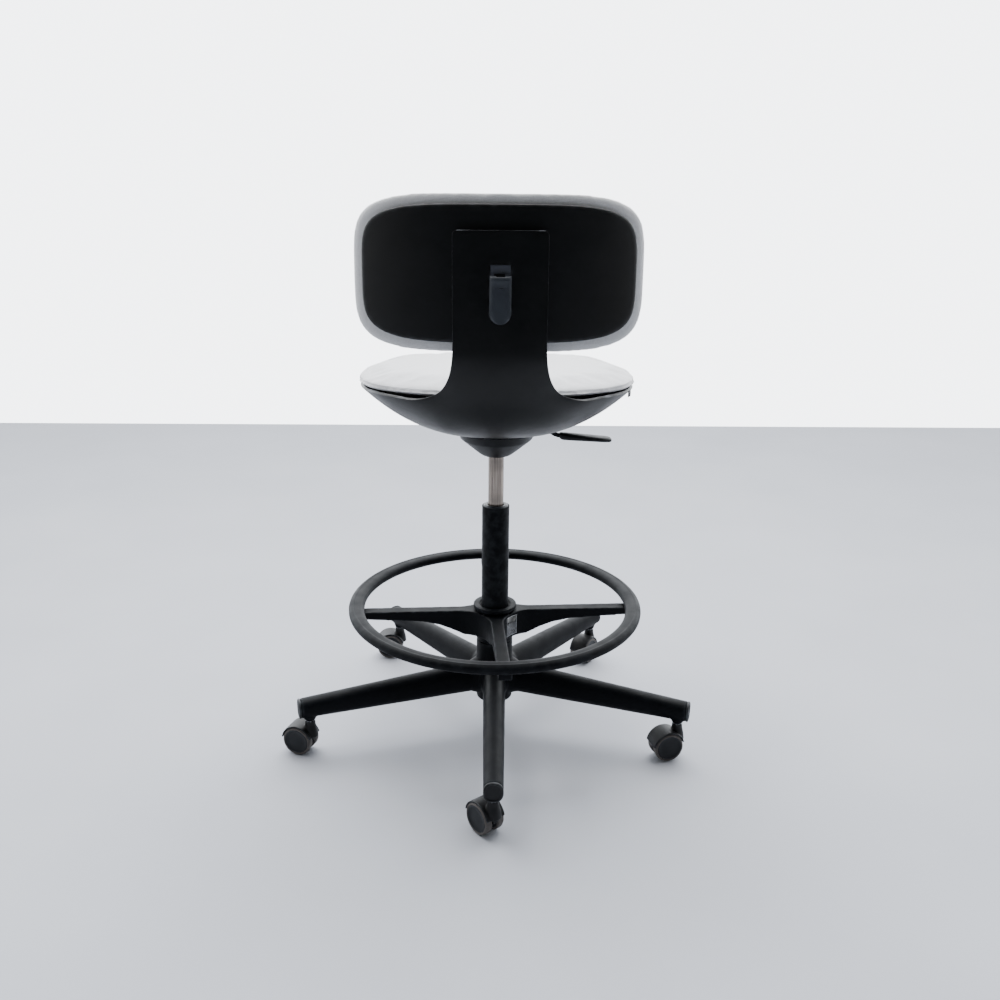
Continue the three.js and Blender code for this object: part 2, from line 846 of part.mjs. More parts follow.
// Steel plate with the tapered boss that the gas cylinder wedges into, four
// pillars up to the seat pan and a pair of ears for the lever pin.
function makePlate() {
  const boss = turned([
    [cylinderRadius + gap, coverBottom + 30],
    [22, coverBottom + 30],
    [22, plateTop],
    [cylinderRadius + gap, plateTop],
  ], 24);
  const plateOutline = new THREE.Shape();
  plateOutline.absellipse(0, 0, 88, 88, 0, 2 * Math.PI);
  const plate = new THREE.ExtrudeGeometry(plateOutline, {
    depth: plateTop - plateBottom,
    bevelEnabled: false,
    curveSegments: 9,
  });
  plate.translate(0, 0, plateBottom);
  const opening = cylinderZ(cylinderRadius, plateBottom - 1, plateTop + 1, 24);
  const ears = [-1, 1].map((side) => box(10, 2, 16, leverPivot.x, side * 9, plateTop + 7));
  const pillars = boltPlaces().map(([x, y]) => {
    const seatOfPan = rimAt(y) + panBottom - pillarPlay;
    return cylinderZ(pillarRadius, plateTop - 1, seatOfPan, 8).translate(x, y, 0);
  });
  const boltHoles = boltPlaces().map(([x, y]) => {
    return cylinderZ(boltRadius + 0.4, plateBottom - 1, rimHeight + padHeight, 8).translate(x, y, 0);
  });
  const pinHole = leverPinHole();
  const notch = box(40, 16, 20, -82, 0, plateBottom);
  const body = join(boss, cut(plate, opening), ...ears, ...pillars);
  return cut(body, pinHole, notch, ...boltHoles);
}

function boltPlaces() {
  return [[-1, -1], [1, -1], [-1, 1], [1, 1]].map(([i, j]) => [i * boltSpacing, (j * boltSpacing) / 1.6]);
}

function makeBolt() {
  return turned([
    [0, plateBottom - 4.5],
    [5.5, plateBottom - 4.5],
    [5.5, plateBottom - gap],
    [boltRadius, plateBottom - gap],
    [boltRadius, panUnderside - 3],
    [0, panUnderside - 3],
  ], 12);
}

function leverPinHole() {
  const hole = cylinderZ(leverPinRadius + 0.4, -20, 20, 8).rotateX(Math.PI / 2);
  return hole.translate(leverPivot.x, 0, leverPivot.z);
}

// Bent rod from over the valve, through the pivot and out below the shell.
function makeLeverRod() {
  const pivot = leverPivot;
  const rod = bar([
    new THREE.Vector3(6, 0, pivot.z - 1),
    new THREE.Vector3(pivot.x, 0, pivot.z),
    new THREE.Vector3(-58, 0, pivot.z + 5),
    new THREE.Vector3(-84, 0, shellBottom + 26),
    new THREE.Vector3(-99, 0, shellBottom + 2),
    new THREE.Vector3(-116, 0, shellBottom - 4.5),
    new THREE.Vector3(-150, 0, shellBottom - 7),
  ], leverRodRadius, 20, 4);
  const eye = cylinderZ(6.5, -7, 7, 12).rotateX(Math.PI / 2).translate(pivot.x, 0, pivot.z);
  return cut(join(rod, eye), leverPinHole());
}

// Flat paddle moulded on the end of the rod, thin at its tip.
function makeLeverGrip() {
  const rootX = -119;
  const tipX = -206;
  const height = shellBottom - 5;
  const section = (x, halfWidth, halfHeight, z) => {
    const ring = [];
    for (let i = 0; i < 14; i++) {
      const angle = (2 * Math.PI * i) / 14;
      const reach = superRadius(angle, halfWidth, halfHeight, 3);
      ring.push(new THREE.Vector3(x, reach * Math.cos(angle), z + reach * Math.sin(angle)));
    }
    return ring;
  };
  const paddle = loft([
    section(rootX, 9, 6.5, height),
    section(rootX - 25, 13, 5.6, height - 1.5),
    section(tipX + 12, 15, 4, height - 5),
    section(tipX + 3, 12.5, 3.6, height - 5.6),
    section(tipX, 9, 2.4, height - 5.8),
  ]);
  const rodHole = bar([
    new THREE.Vector3(-99, 0, shellBottom + 2),
    new THREE.Vector3(-116, 0, shellBottom - 4.5),
    new THREE.Vector3(-151, 0, shellBottom - 7),
  ], leverRodRadius + 0.6, 12, 4);
  return cut(paddle, rodHole);
}

function makeValveButton() {
  return cylinderZ(3, cylinderTop - 10, leverPivot.z - 6, 10);
}

function makeLeverPin() {
  const pin = cylinderZ(leverPinRadius, -11, 11, 10).rotateX(Math.PI / 2);
  return pin.translate(leverPivot.x, 0, leverPivot.z);
}

place("mechanism_cover", makeCover(), blackPlastic());
place("mechanism_plate", makePlate(), zincSteel());
const bolt = makeBolt();
boltPlaces().forEach(([x, y], index) => {
  place(`mechanism_bolt_${index + 1}`, bolt.clone().translate(x, y, 0), zincSteel());
});
place("lever_pin", makeLeverPin(), zincSteel());
place("gas_lever", makeLeverRod(), blackCoat());
place("lever_grip", makeLeverGrip(), blackPlastic());
place("valve_button", makeValveButton(), zincSteel());

// ---------------------------------------------------------------- backrest

const panelFront = -shellWall - 13; // front of the back panel, from the back of the tongue
const panelBack = panelFront + panelThickness;

function backOutline(angle, inset) {
  const reach = superRadius(angle, backHalfWidth - inset, backHalfHeight - inset, backRoundness);
  return [reach * Math.cos(angle), reach * Math.sin(angle)];
}

// Closed form on the backrest outline: each entry is an inset and a depth behind
// the tongue's back face, and the whole is bent round the sitter.
function backForm(profile, sides = 32) {
  const rings = profile.map(([inset, depth]) => {
    const ring = [];
    for (let i = 0; i < sides; i++) {
      const [across, up] = backOutline((2 * Math.PI * i) / sides, inset);
      const radius = backBend + depth;
      const back = Math.sqrt(radius ** 2 - across ** 2) - backBend;
      ring.push(new THREE.Vector3(across, back, backCentreHeight + up));
    }
    return ring;
  });
  return onTongue(loft(rings, true));
}

function makeBackPanel() {
  return backForm([
    [96, panelBack],
    [60, panelBack],
    [30, panelBack],
    [panelInset + 1, panelBack],
    [panelInset, panelBack - 1],
    [panelInset, panelFront],
    [30, panelFront],
    [60, panelFront],
    [96, panelFront],
  ]);
}

function makeBackPad() {
  const rear = panelFront - 1;
  const front = rear - backPadThickness;
  return backForm([
    [96, front],
    [60, front],
    [26, front + 3],
    [8, front + 9],
    [0.5, rear - 16],
    [0, rear - 6],
    [4, rear],
    [panelInset, rear],
    [30, rear],
    [60, rear],
    [96, rear],
  ]);
}

const pinHeight = 877;
const pinDepth = 7; // the pin's place behind the tongue's back face
const stemHalfWidth = 6;

const clipPinRadius = 1.5;
const eyeRadius = 3.5;

function clipPinHole() {
  return cylinderZ(clipPinRadius + 0.3, -20, 20, 8).rotateY(Math.PI / 2).translate(0, pinDepth, pinHeight);
}

// Toothed strip clipped into the slot of the tongue, with a slit for the stem.
function makeHeightRack() {
  const bottom = slotBottom + gap;
  const top = slotTop - gap;
  const outline = new THREE.Shape();
  outline.moveTo(-slotHalfWidth + gap, bottom);
  outline.lineTo(slotHalfWidth - gap, bottom);
  outline.lineTo(slotHalfWidth - gap, top);
  outline.lineTo(-slotHalfWidth + gap, top);
  const slit = new THREE.Path();
  const toothPitch = 6;
  const slitTop = top - 13;
  slit.moveTo(-stemHalfWidth - 1, bottom + 4);
  slit.lineTo(-stemHalfWidth - 1, slitTop);
  slit.lineTo(stemHalfWidth + 1, slitTop);
  for (let z = slitTop - toothPitch; z > bottom + 8; z -= toothPitch) {
    slit.lineTo(stemHalfWidth + 1, z + 3);
    slit.lineTo(stemHalfWidth + 3.5, z + 2);
    slit.lineTo(stemHalfWidth + 3.5, z);
    slit.lineTo(stemHalfWidth + 1, z - 0.5);
  }
  slit.lineTo(stemHalfWidth + 1, bottom + 4);
  outline.holes.push(slit);
  return onTongue(plateXZ(outline, shellWall - 1.4).translate(0, -shellWall / 2, 0));
}

// Bracket between the panel and the tongue; its stem passes the slit and holds
// the pin of the clip.
function makeCarrier() {
  const plateDepth = 6;
  const plateY = panelBack + gap + plateDepth / 2;
  const plate = box(52, plateDepth, 96, 0, plateY, pinHeight - 3);
  const stemWidth = 2 * stemHalfWidth - 1;
  const stemLength = pinDepth - plateY;
  const stem = box(stemWidth, stemLength, 6, 0, plateY + stemLength / 2, pinHeight);
  const eye = cylinderZ(eyeRadius, -stemWidth / 2, stemWidth / 2, 12).rotateY(Math.PI / 2);
  eye.translate(0, pinDepth, pinHeight);
  return onTongue(cut(join(plate, stem, eye), clipPinHole()));
}

function makeClipPin() {
  const pin = cylinderZ(clipPinRadius, -14, 14, 8).rotateY(Math.PI / 2);
  return onTongue(pin.translate(0, pinDepth, pinHeight));
}

// Rounded lever that lies against the tongue, its top end round about the pin.
function makeClipLever() {
  const halfWidth = 16.5;
  const top = pinHeight + 9;
  const bottom = 811;
  const front = new THREE.Shape();
  front.moveTo(-halfWidth, top + 1);
  front.lineTo(-halfWidth, bottom + halfWidth);
  front.absarc(0, bottom + halfWidth, halfWidth, Math.PI, 2 * Math.PI, false);
  front.lineTo(halfWidth, top + 1);
  const side = new THREE.Shape();
  side.absarc(pinDepth, pinHeight, pinDepth - 0.8, -Math.PI, -2 * Math.PI, true);
  side.lineTo(10.5, bottom + 40);
  side.lineTo(7.5, bottom - 1);
  side.lineTo(0.8, bottom - 1);
  const slab = plateXZ(side, 2 * halfWidth + 2, 4).rotateZ(Math.PI / 2);
  const body = overlap(plateXZ(front, 40), slab);
  const hollowFloor = pinDepth + eyeRadius + 0.5;
  const hollow = box(2 * stemHalfWidth + 1, 2 * hollowFloor, 24, 0, 0, pinHeight);
  return onTongue(cut(body, hollow, clipPinHole()));
}

place("height_rack", makeHeightRack(), greyPlastic());
place("back_panel", makeBackPanel(), blackPlastic());
place("back_pad", makeBackPad(), lightFabric());
place("back_carrier", makeCarrier(), blackPlastic());
place("clip_pin", makeClipPin(), zincSteel());
place("clip_lever", makeClipLever(), greyPlastic());

// The origin is the middle of the footprint, on the floor.
const footprint = new THREE.Box3().setFromObject(chair).getCenter(new THREE.Vector3());
chair.position.set(-Math.round(footprint.x * 10) / 10, -Math.round(footprint.y * 10) / 10, 0);

export default chair;
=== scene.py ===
# Drafting chair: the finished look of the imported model, for Blender 4.5.
# Shapes are worked out in millimetres in the chair's own frame, whose origin is the
# foot of the lift column: +Y is the back of the chair and +Z is up.
import math

import bmesh
import bpy
from mathutils import Matrix, Vector, noise
from mathutils.bvhtree import BVHTree
from mathutils.kdtree import KDTree


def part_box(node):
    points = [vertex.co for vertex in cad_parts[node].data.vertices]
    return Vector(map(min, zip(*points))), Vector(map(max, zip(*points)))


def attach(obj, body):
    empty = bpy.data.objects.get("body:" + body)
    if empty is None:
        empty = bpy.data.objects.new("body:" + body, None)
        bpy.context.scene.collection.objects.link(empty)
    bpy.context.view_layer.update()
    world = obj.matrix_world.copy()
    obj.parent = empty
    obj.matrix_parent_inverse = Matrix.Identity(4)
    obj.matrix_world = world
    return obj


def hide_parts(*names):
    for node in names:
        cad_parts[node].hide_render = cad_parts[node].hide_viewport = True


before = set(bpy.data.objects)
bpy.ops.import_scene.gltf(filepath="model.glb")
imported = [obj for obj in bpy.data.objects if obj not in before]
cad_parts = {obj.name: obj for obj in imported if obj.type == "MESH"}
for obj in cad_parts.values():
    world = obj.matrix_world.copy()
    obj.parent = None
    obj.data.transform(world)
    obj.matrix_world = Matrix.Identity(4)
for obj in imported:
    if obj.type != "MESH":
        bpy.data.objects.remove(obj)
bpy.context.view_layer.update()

MM = 0.001
TAU = 2 * math.pi


# ---------------------------------------------------------------- sizes from the frame

def size_of(node):
    """Lowest and highest corner of a CAD node, in millimetres in the chair's frame."""
    low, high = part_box(node)
    return (low - column) / MM, (high - column) / MM


def middle_of(node):
    return sum(size_of(node), Vector()) / 2


def heights_of(node):
    low, high = size_of(node)
    return low.z, high.z


tube_low, tube_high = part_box("stand_tube")
column = Vector(((tube_low.x + tube_high.x) / 2, (tube_low.y + tube_high.y) / 2, 0))

tube_bottom, tube_top = heights_of("stand_tube")
tube_radius = size_of("stand_tube")[1].x
hub_bottom, hub_top = heights_of("five_star_base")
hub_radius = 34
cylinder_radius = 14
cylinder_bottom, cylinder_top = heights_of("gas_cylinder")

# base
leg_count = 5
stem_places = [middle_of(f"caster_stem_{i + 1}") for i in range(leg_count)]
axle_places = [middle_of(f"caster_axle_{i + 1}") for i in range(leg_count)]
leg_angles = [math.atan2(place.y, place.x) for place in stem_places]
caster_radius = stem_places[0].xy.length
leg_root_radius = 20
leg_tip_radius = caster_radius + 16
leg_root = {"bottom": 81, "top": 141, "width": 43}
leg_tip = {"bottom": 75.5, "top": 111.5, "width": 33}
wheel_radius = axle_places[0].z
caster_trail = (axle_places[0] - stem_places[0]).xy.length

# footring
ring_half_width = 14.5
ring_half_height = 9.5
ring_radius = (size_of("footring")[1].x - size_of("footring")[0].x) / 2 - ring_half_width
ring_height = size_of("footring")[1].z - ring_half_height
ring_turn = math.radians(3)
spoke_top = ring_height - ring_half_height + 0.5
sleeve_bottom = size_of("footring")[0].z
collar_radius = size_of("footring_collar")[1].x
collar_top = size_of("footring_collar")[1].z

# seat
seat_half_width = 238
seat_half_depth = 203  # behind the centre
seat_front_depth = 225
seat_centre_y = -15
seat_roundness = 2.3  # of the outline behind the centre
seat_front_roundness = 2.6
seat_tilt = 0.04
rim_height = 675.5
shell_bottom = 585.5
shell_wall = 5
tongue_half_width = 72.5
tongue_curve = 4
tongue_root = Vector((0, 216, 775))
tongue_top = Vector((0, 207, size_of("seat_shell")[1].z))

# backrest
back_centre_height = 884
back_half_width = 229
back_half_height = 116.5
back_roundness = 4.6
back_bend = 430
panel_inset = 13.5
panel_front = -18
panel_back = -12
back_pad_thickness = 40
back_lean = math.atan2(tongue_root.y - tongue_top.y, tongue_top.z - tongue_root.z)


# ---------------------------------------------------------------- node materials

class Nodes:
    """Short calls for building one material's node tree."""

    def __init__(self, name):
        self.material = bpy.data.materials.new(name)
        self.material.use_nodes = True
        self.tree = self.material.node_tree
        self.shader = self.tree.nodes["Principled BSDF"]
        self.place = self.add("ShaderNodeTexCoord").outputs["Object"]

    def add(self, kind, **settings):
        node = self.tree.nodes.new(kind)
        for key, value in settings.items():
            setattr(node, key, value)
        return node

    def feed(self, socket, value):
        """Link an output to a socket, or set the socket to a plain value."""
        if isinstance(value, bpy.types.NodeSocket):
            self.tree.links.new(value, socket)
        else:
            socket.default_value = value

    def math(self, operation, first, second=0.0, third=0.0):
        node = self.add("ShaderNodeMath", operation=operation)
        for socket, value in zip(node.inputs, (first, second, third)):
            self.feed(socket, value)
        return node.outputs[0]

    def scaled(self, factors):
        node = self.add("ShaderNodeMapping")
        self.feed(node.inputs["Vector"], self.place)
        node.inputs["Scale"].default_value = factors
        return node.outputs[0]

    def axis(self, number):
        """One coordinate of the surface point."""
        split = self.add("ShaderNodeSeparateXYZ")
        self.feed(split.inputs[0], self.place)
        return split.outputs[number]

    def noise(self, scale, detail=3.0, roughness=0.5, place=None):
        node = self.add("ShaderNodeTexNoise")
        self.feed(node.inputs["Vector"], place or self.place)
        node.inputs["Scale"].default_value = scale
        node.inputs["Detail"].default_value = detail
        node.inputs["Roughness"].default_value = roughness
        return node.outputs["Fac"]

    def cells(self, scale):
        node = self.add("ShaderNodeTexVoronoi", feature="F1")
        self.feed(node.inputs["Vector"], self.place)
        node.inputs["Scale"].default_value = scale
        return node.outputs["Distance"]

    def between(self, value, low, high, out_low=0.0, out_high=1.0):
        node = self.add("ShaderNodeMapRange")
        for socket, number in zip(node.inputs, (value, low, high, out_low, out_high)):
            self.feed(socket, number)
        return node.outputs[0]

    def mix(self, share, first, second):
        node = self.add("ShaderNodeMix", data_type="RGBA")
        share_socket, first_socket, second_socket = (node.inputs[i] for i in (0, 6, 7))
        self.feed(share_socket, share)
        self.feed(first_socket, first)
        self.feed(second_socket, second)
        return node.outputs[2]

    def bump(self, height, strength, distance, under=None):
        node = self.add("ShaderNodeBump")
        node.inputs["Strength"].default_value = strength
        node.inputs["Distance"].default_value = distance
        self.feed(node.inputs["Height"], height)
        if under:
            self.feed(node.inputs["Normal"], under)
        return node.outputs[0]

    def finish(self, colour, roughness, normal=None, **plain):
        """Wire the shader; the plain values are the same all over the surface."""
        self.feed(self.shader.inputs["Base Color"], colour)
        self.feed(self.shader.inputs["Roughness"], roughness)
        if normal:
            self.feed(self.shader.inputs["Normal"], normal)
        for key, value in plain.items():
            self.shader.inputs[key.replace("_", " ")].default_value = value
        return self.material

    def edge_wear_and_highlight(self, sharpness=0.56):
        """Share of the surface that is a convex edge, broken up so that it is patchy: the mask for edge
        wear and for a painted highlight along the edges.
        """
        pointed = self.add("ShaderNodeNewGeometry").outputs["Pointiness"]
        edge = self.between(pointed, 0.505, sharpness)
        return self.math("MULTIPLY", edge, self.between(self.noise(60, 4), 0.4, 0.65))


def rgb(red, green, blue):
    """A display colour given from 0 to 255, as the linear colour that nodes use."""
    def linear(value):
        value /= 255
        return value / 12.92 if value <= 0.04045 else ((value + 0.055) / 1.055) ** 2.4
    return (linear(red), linear(green), linear(blue), 1.0)


def powder_coat():
    n = Nodes("black_powder_coat_look")
    tone = n.between(n.noise(9, 4), 0.35, 0.65)
    base = n.mix(tone, rgb(8, 10, 13), rgb(12, 14, 18))
    # Convex edges lightened: edge wear and a painted highlight along them.
    worn_and_highlit = n.mix(n.edge_wear_and_highlight(0.58), base, rgb(60, 64, 68))
    dust = n.between(n.noise(420, 2), 0.68, 0.84, 0.0, 0.25)
    colour = n.mix(dust, worn_and_highlit, rgb(46, 50, 54))
    rough = n.between(n.noise(35, 5), 0.3, 0.7, 0.46, 0.58)
    peel = n.noise(700, 2, 0.4)
    normal = n.bump(peel, 0.18, 0.0006)
    return n.finish(colour, rough, normal, Specular_IOR_Level=0.07)


def moulded_plastic(name, dark, light, rough=(0.42, 0.56), grain=0.16, edge=(74, 78, 82)):
    n = Nodes(name)
    base = n.mix(n.between(n.noise(6, 3), 0.3, 0.7), dark, light)
    # Convex edges lightened towards the edge colour: edge wear and a painted highlight along them.
    colour = n.mix(n.math("MULTIPLY", n.edge_wear_and_highlight(), 0.6), base, rgb(*edge))
    roughness = n.between(n.noise(18, 6, 0.6), 0.3, 0.7, *rough)
    fine = n.cells(1500)
    normal = n.bump(fine, grain, 0.0004)
    return n.finish(colour, roughness, normal, Specular_IOR_Level=0.25)


def black_plastic():
    return moulded_plastic("black_plastic_look", rgb(4, 5, 7), rgb(9, 11, 14))


def shell_plastic():
    # Its edge colour is paler than the other plastics': a stronger painted highlight along the shell's
    # bevelled edges.
    return moulded_plastic("shell_plastic_look", rgb(3, 4, 6), rgb(7, 9, 11), (0.36, 0.5), 0.12,
                           (104, 108, 114))


# Pale plastic for the tongue's bevel faces: a painted highlight along its edges.
def painted_edge_highlight():
    return moulded_plastic("painted_edge_highlight_look", rgb(92, 96, 102), rgb(126, 130, 137), (0.3, 0.42), 0.1)


def grey_plastic():
    return moulded_plastic("grey_plastic_look", rgb(46, 50, 56), rgb(56, 61, 68), (0.34, 0.46))


def insert_plastic():
    return moulded_plastic("insert_plastic_look", rgb(70, 74, 84), rgb(84, 88, 98), (0.45, 0.6))


def weave_height(n, pitch):
    """Plain weave: warp and weft threads that pass over each other, on all three planes."""
    split = n.add("ShaderNodeSeparateXYZ")
    n.feed(split.inputs[0], n.place)
    facing = n.add("ShaderNodeSeparateXYZ")
    n.feed(facing.inputs[0], n.add("ShaderNodeTexCoord").outputs["Normal"])
    wobble = n.between(n.noise(90, 2), 0, 1, -0.9, 0.9)
    waves = []
    for axis in range(3):
        turn = n.math("MULTIPLY_ADD", split.outputs[axis], math.pi / pitch, wobble)
        waves.append(n.math("SINE", turn))
    total = None
    for first, second, across in ((0, 1, 2), (0, 2, 1), (1, 2, 0)):
        crossing = n.math("MULTIPLY", waves[first], waves[second])
        over = n.math("GREATER_THAN", crossing, 0.0)
        rounds = [n.math("ABSOLUTE", waves[axis]) for axis in (first, second)]
        warp = n.math("MULTIPLY", n.math("POWER", rounds[0], 0.5), rounds[1])
        weft = n.math("MULTIPLY", n.math("POWER", rounds[1], 0.5), rounds[0])
        height = n.math("ADD", n.math("MULTIPLY", over, warp),
                        n.math("MULTIPLY", n.math("SUBTRACT", 1.0, over), weft))
        share = n.math("POWER", n.math("ABSOLUTE", facing.outputs[across]), 4.0)
        part = n.math("MULTIPLY", height, share)
        total = part if total is None else n.math("ADD", total, part)
    return total


def woven_fabric():
    n = Nodes("light_grey_fabric_look")
    weave = weave_height(n, 0.0011)
    flecks = n.between(n.noise(1300, 2, 0.7), 0.35, 0.68)
    yarn = n.between(n.noise(160, 4, 0.6), 0.3, 0.7)
    base = n.mix(flecks, rgb(206, 207, 209), rgb(240, 241, 243))
    shade = n.mix(n.math("MULTIPLY", yarn, 0.22), base, rgb(180, 180, 182))
    # Darker where the weave is low: painted shade between the threads.
    colour = n.mix(n.between(weave, 0.0, 0.7, 0.34, 0.0), shade, rgb(156, 156, 159))
    lint = n.noise(2600, 2)
    normal = n.bump(lint, 0.12, 0.0003, n.bump(weave, 0.5, 0.0005))
    return n.finish(colour, n.between(yarn, 0, 1, 0.86, 0.97), normal,
                    Sheen_Weight=0.35, Sheen_Roughness=0.45, Specular_IOR_Level=0.2)


def sewing_thread():
    n = Nodes("sewing_thread_look")
    twist = n.noise(2400, 2, 0.5, n.scaled((1, 1, 0.4)))
    colour = n.mix(twist, rgb(216, 217, 219), rgb(242, 243, 245))
    return n.finish(colour, 0.7, n.bump(twist, 0.4, 0.0002), Sheen_Weight=0.3)


def tag_textile():
    n = Nodes("tag_textile_look")
    ribs = n.math("SINE", n.math("MULTIPLY", n.axis(2), math.pi / 0.0006))
    # Darker in the hollows between the ribs: painted shade.
    colour = n.mix(n.between(ribs, -1, 1), rgb(22, 23, 26), rgb(40, 41, 45))
    return n.finish(colour, 0.85, n.bump(ribs, 0.3, 0.0002), Sheen_Weight=0.2)


def label_film():
    n = Nodes("label_film_look")
    print_tone = n.between(n.noise(300, 3), 0.4, 0.6)
    colour = n.mix(print_tone, rgb(34, 37, 41), rgb(42, 45, 49))
    return n.finish(colour, n.between(n.noise(80, 3), 0.3, 0.7, 0.2, 0.34), Coat_Weight=0.3)


def label_border():
    n = Nodes("label_border_look")
    colour = n.mix(n.noise(900, 2), rgb(150, 154, 158), rgb(190, 193, 196))
    return n.finish(colour, 0.5, n.bump(n.noise(900, 2), 0.1, 0.0001))


def cylinder_steel():
    n = Nodes("cylinder_steel_look")
    streaks = n.noise(420, 4, 0.65, n.scaled((1, 1, 0.015)))
    bands = n.noise(34, 2, 0.5, n.scaled((0.3, 0.3, 1)))
    base = n.mix(n.between(streaks, 0.32, 0.68), rgb(96, 88, 82), rgb(176, 165, 154))
    colour = n.mix(n.between(bands, 0.45, 0.75, 0, 0.5), base, rgb(84, 79, 76))
    rough = n.between(streaks, 0.3, 0.7, 0.24, 0.42)
    return n.finish(colour, rough, n.bump(streaks, 0.12, 0.0002), Metallic=0.85)


def zinc_steel():
    n = Nodes("zinc_plated_steel_look")
    spangle = n.cells(260)
    colour = n.mix(n.between(spangle, 0.0, 0.9), rgb(150, 153, 158), rgb(190, 192, 196))
    rough = n.between(n.noise(70, 4), 0.3, 0.7, 0.28, 0.45)
    return n.finish(colour, rough, n.bump(n.noise(500, 2), 0.1, 0.0003), Metallic=1.0)


def tread_rubber():
    n = Nodes("tread_rubber_look")
    tone = n.between(n.noise(120, 4), 0.3, 0.7)
    colour = n.mix(tone, rgb(64, 60, 57), rgb(88, 83, 79))
    scuffed = n.mix(n.between(n.noise(700, 3), 0.6, 0.75), colour, rgb(118, 113, 108))
    return n.finish(scuffed, n.between(tone, 0, 1, 0.55, 0.72), n.bump(n.noise(900, 3), 0.2, 0.0004))


def disc_plastic():
    return moulded_plastic("disc_plastic_look", rgb(10, 13, 17), rgb(16, 20, 25), (0.42, 0.54), 0.12)


def pale_floor():
    n = Nodes("pale_floor_look")
    colour = n.mix(n.noise(3, 3), rgb(166, 169, 177), rgb(178, 181, 188))
    return n.finish(colour, 0.85, n.bump(n.noise(300, 3), 0.08, 0.001))


looks = {
    "powder": powder_coat(),
    "plastic": black_plastic(),
    "shell": shell_plastic(),
    "painted edge highlight": painted_edge_highlight(),
    "grey": grey_plastic(),
    "insert": insert_plastic(),
    "fabric": woven_fabric(),
    "thread": sewing_thread(),
    "tag": tag_textile(),
    "film": label_film(),
    "border": label_border(),
    "cylinder": cylinder_steel(),
    "zinc": zinc_steel(),
    "tread": tread_rubber(),
    "disc": disc_plastic(),
}


# ---------------------------------------------------------------- mesh helpers

def mesh_of(name, points, faces, scale=MM):
    mesh = bpy.data.meshes.new(name)
    mesh.from_pydata([Vector(p) * scale for p in points], [], faces)
    mesh.validate()
    surface = bmesh.new()
    surface.from_mesh(mesh)
    bmesh.ops.recalc_face_normals(surface, faces=surface.faces)
    surface.to_mesh(mesh)
    surface.free()
    mesh.shade_smooth()
    return mesh


def new_object(name, mesh, look):
    obj = bpy.data.objects.new(name, mesh)
    bpy.context.scene.collection.objects.link(obj)
    if not mesh.materials:
        mesh.materials.append(looks[look])
    return obj


def piece(name, shape, look):
    """A shape in the chair's millimetres becomes an object in the frame."""
    points, faces = shape
    mesh = mesh_of(name, points, faces)
    mesh.transform(Matrix.Translation(column))
    return new_object(name, mesh, look)


def settle(obj, body, slot, *nodes):
    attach(obj, body)
    if nodes:
        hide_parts(*nodes)


def round_edges(obj, width, segments=2, angle=40):
    bevel = obj.modifiers.new("rounded edges", "BEVEL")
    bevel.width = width * MM
    bevel.segments = segments
    bevel.limit_method = "ANGLE"
    bevel.angle_limit = math.radians(angle)
    apply_modifiers(obj)


def subdivide(obj):
    smooth = obj.modifiers.new("fine surface", "SUBSURF")
    smooth.levels = 1
    smooth.render_levels = 1
    apply_modifiers(obj)


def remesh_evenly(obj, voxel):
    remesh = obj.modifiers.new("even skin", "REMESH")
    remesh.mode = "VOXEL"
    remesh.voxel_size = voxel * MM
    remesh.use_smooth_shade = True


def soften(obj, passes):
    smooth = obj.modifiers.new("softened", "SMOOTH")
    smooth.factor = 0.5
    smooth.iterations = passes


def cut_out(obj, shape, look):
    """Cuts a shape out of a piece."""
    cutter = piece("opening", shape, look)
    cut = obj.modifiers.new("opening", "BOOLEAN")
    cut.operation = "DIFFERENCE"
    cut.solver = "EXACT"
    cut.object = cutter
    apply_modifiers(obj)
    bpy.data.objects.remove(cutter)


def apply_modifiers(obj):
    """Keeps what the modifiers make as the piece's own mesh."""
    graph = bpy.context.evaluated_depsgraph_get()
    graph.update()
    mesh = bpy.data.meshes.new_from_object(obj.evaluated_get(graph))
    obj.modifiers.clear()
    obj.data = mesh
    mesh.name = obj.name


def combined(*shapes):
    points = []
    faces = []
    for more_points, more_faces in shapes:
        start = len(points)
        points.extend(more_points)
        faces.extend([tuple(i + start for i in face) for face in more_faces])
    return points, faces


def moved(shape, matrix):
    points, faces = shape
    return [matrix @ Vector(p) for p in points], faces


def shifted(shape, x, y, z):
    return moved(shape, Matrix.Translation((x, y, z)))


def turned_about_z(shape, angle):
    return moved(shape, Matrix.Rotation(angle, 4, "Z"))


def lathe(profile, segments=64):
    """A solid of revolution about Z from [radius, height] pairs."""
    on_axis = profile[0][0] == 0 and profile[-1][0] == 0
    inner = profile[1:-1] if on_axis else profile
    points = []
    for radius, height in inner:
        for j in range(segments):
            angle = TAU * j / segments
            points.append((radius * math.cos(angle), radius * math.sin(angle), height))
    faces = []
    rows = len(inner)
    for i in range(rows - 1 if on_axis else rows):
        for j in range(segments):
            a = i * segments + j
            b = i * segments + (j + 1) % segments
            shift = segments if i + 1 < rows else -i * segments
            faces.append((a, b, b + shift, a + shift))
    if on_axis:
        for row, (_, height) in ((0, profile[0]), (rows - 1, profile[-1])):
            hub = len(points)
            points.append((0, 0, height))
            for j in range(segments):
                a = row * segments + j
                b = row * segments + (j + 1) % segments
                faces.append((a, b, hub))
    return points, faces


def rounded_profile(corners, radius, steps=3):
    """A closed lathe profile with its corners rounded."""
    result = []
    count = len(corners)
    for i, corner in enumerate(corners):
        here = Vector(corner)
        before = Vector(corners[i - 1])
        after = Vector(corners[(i + 1) % count])
        reach = min(radius, (before - here).length / 2.1, (after - here).length / 2.1)
        start = here + (before - here).normalized() * reach
        end = here + (after - here).normalized() * reach
        for k in range(steps + 1):
            t = k / steps
            result.append(tuple(start * (1 - t) ** 2 + here * 2 * t * (1 - t) + end * t ** 2))
    return result


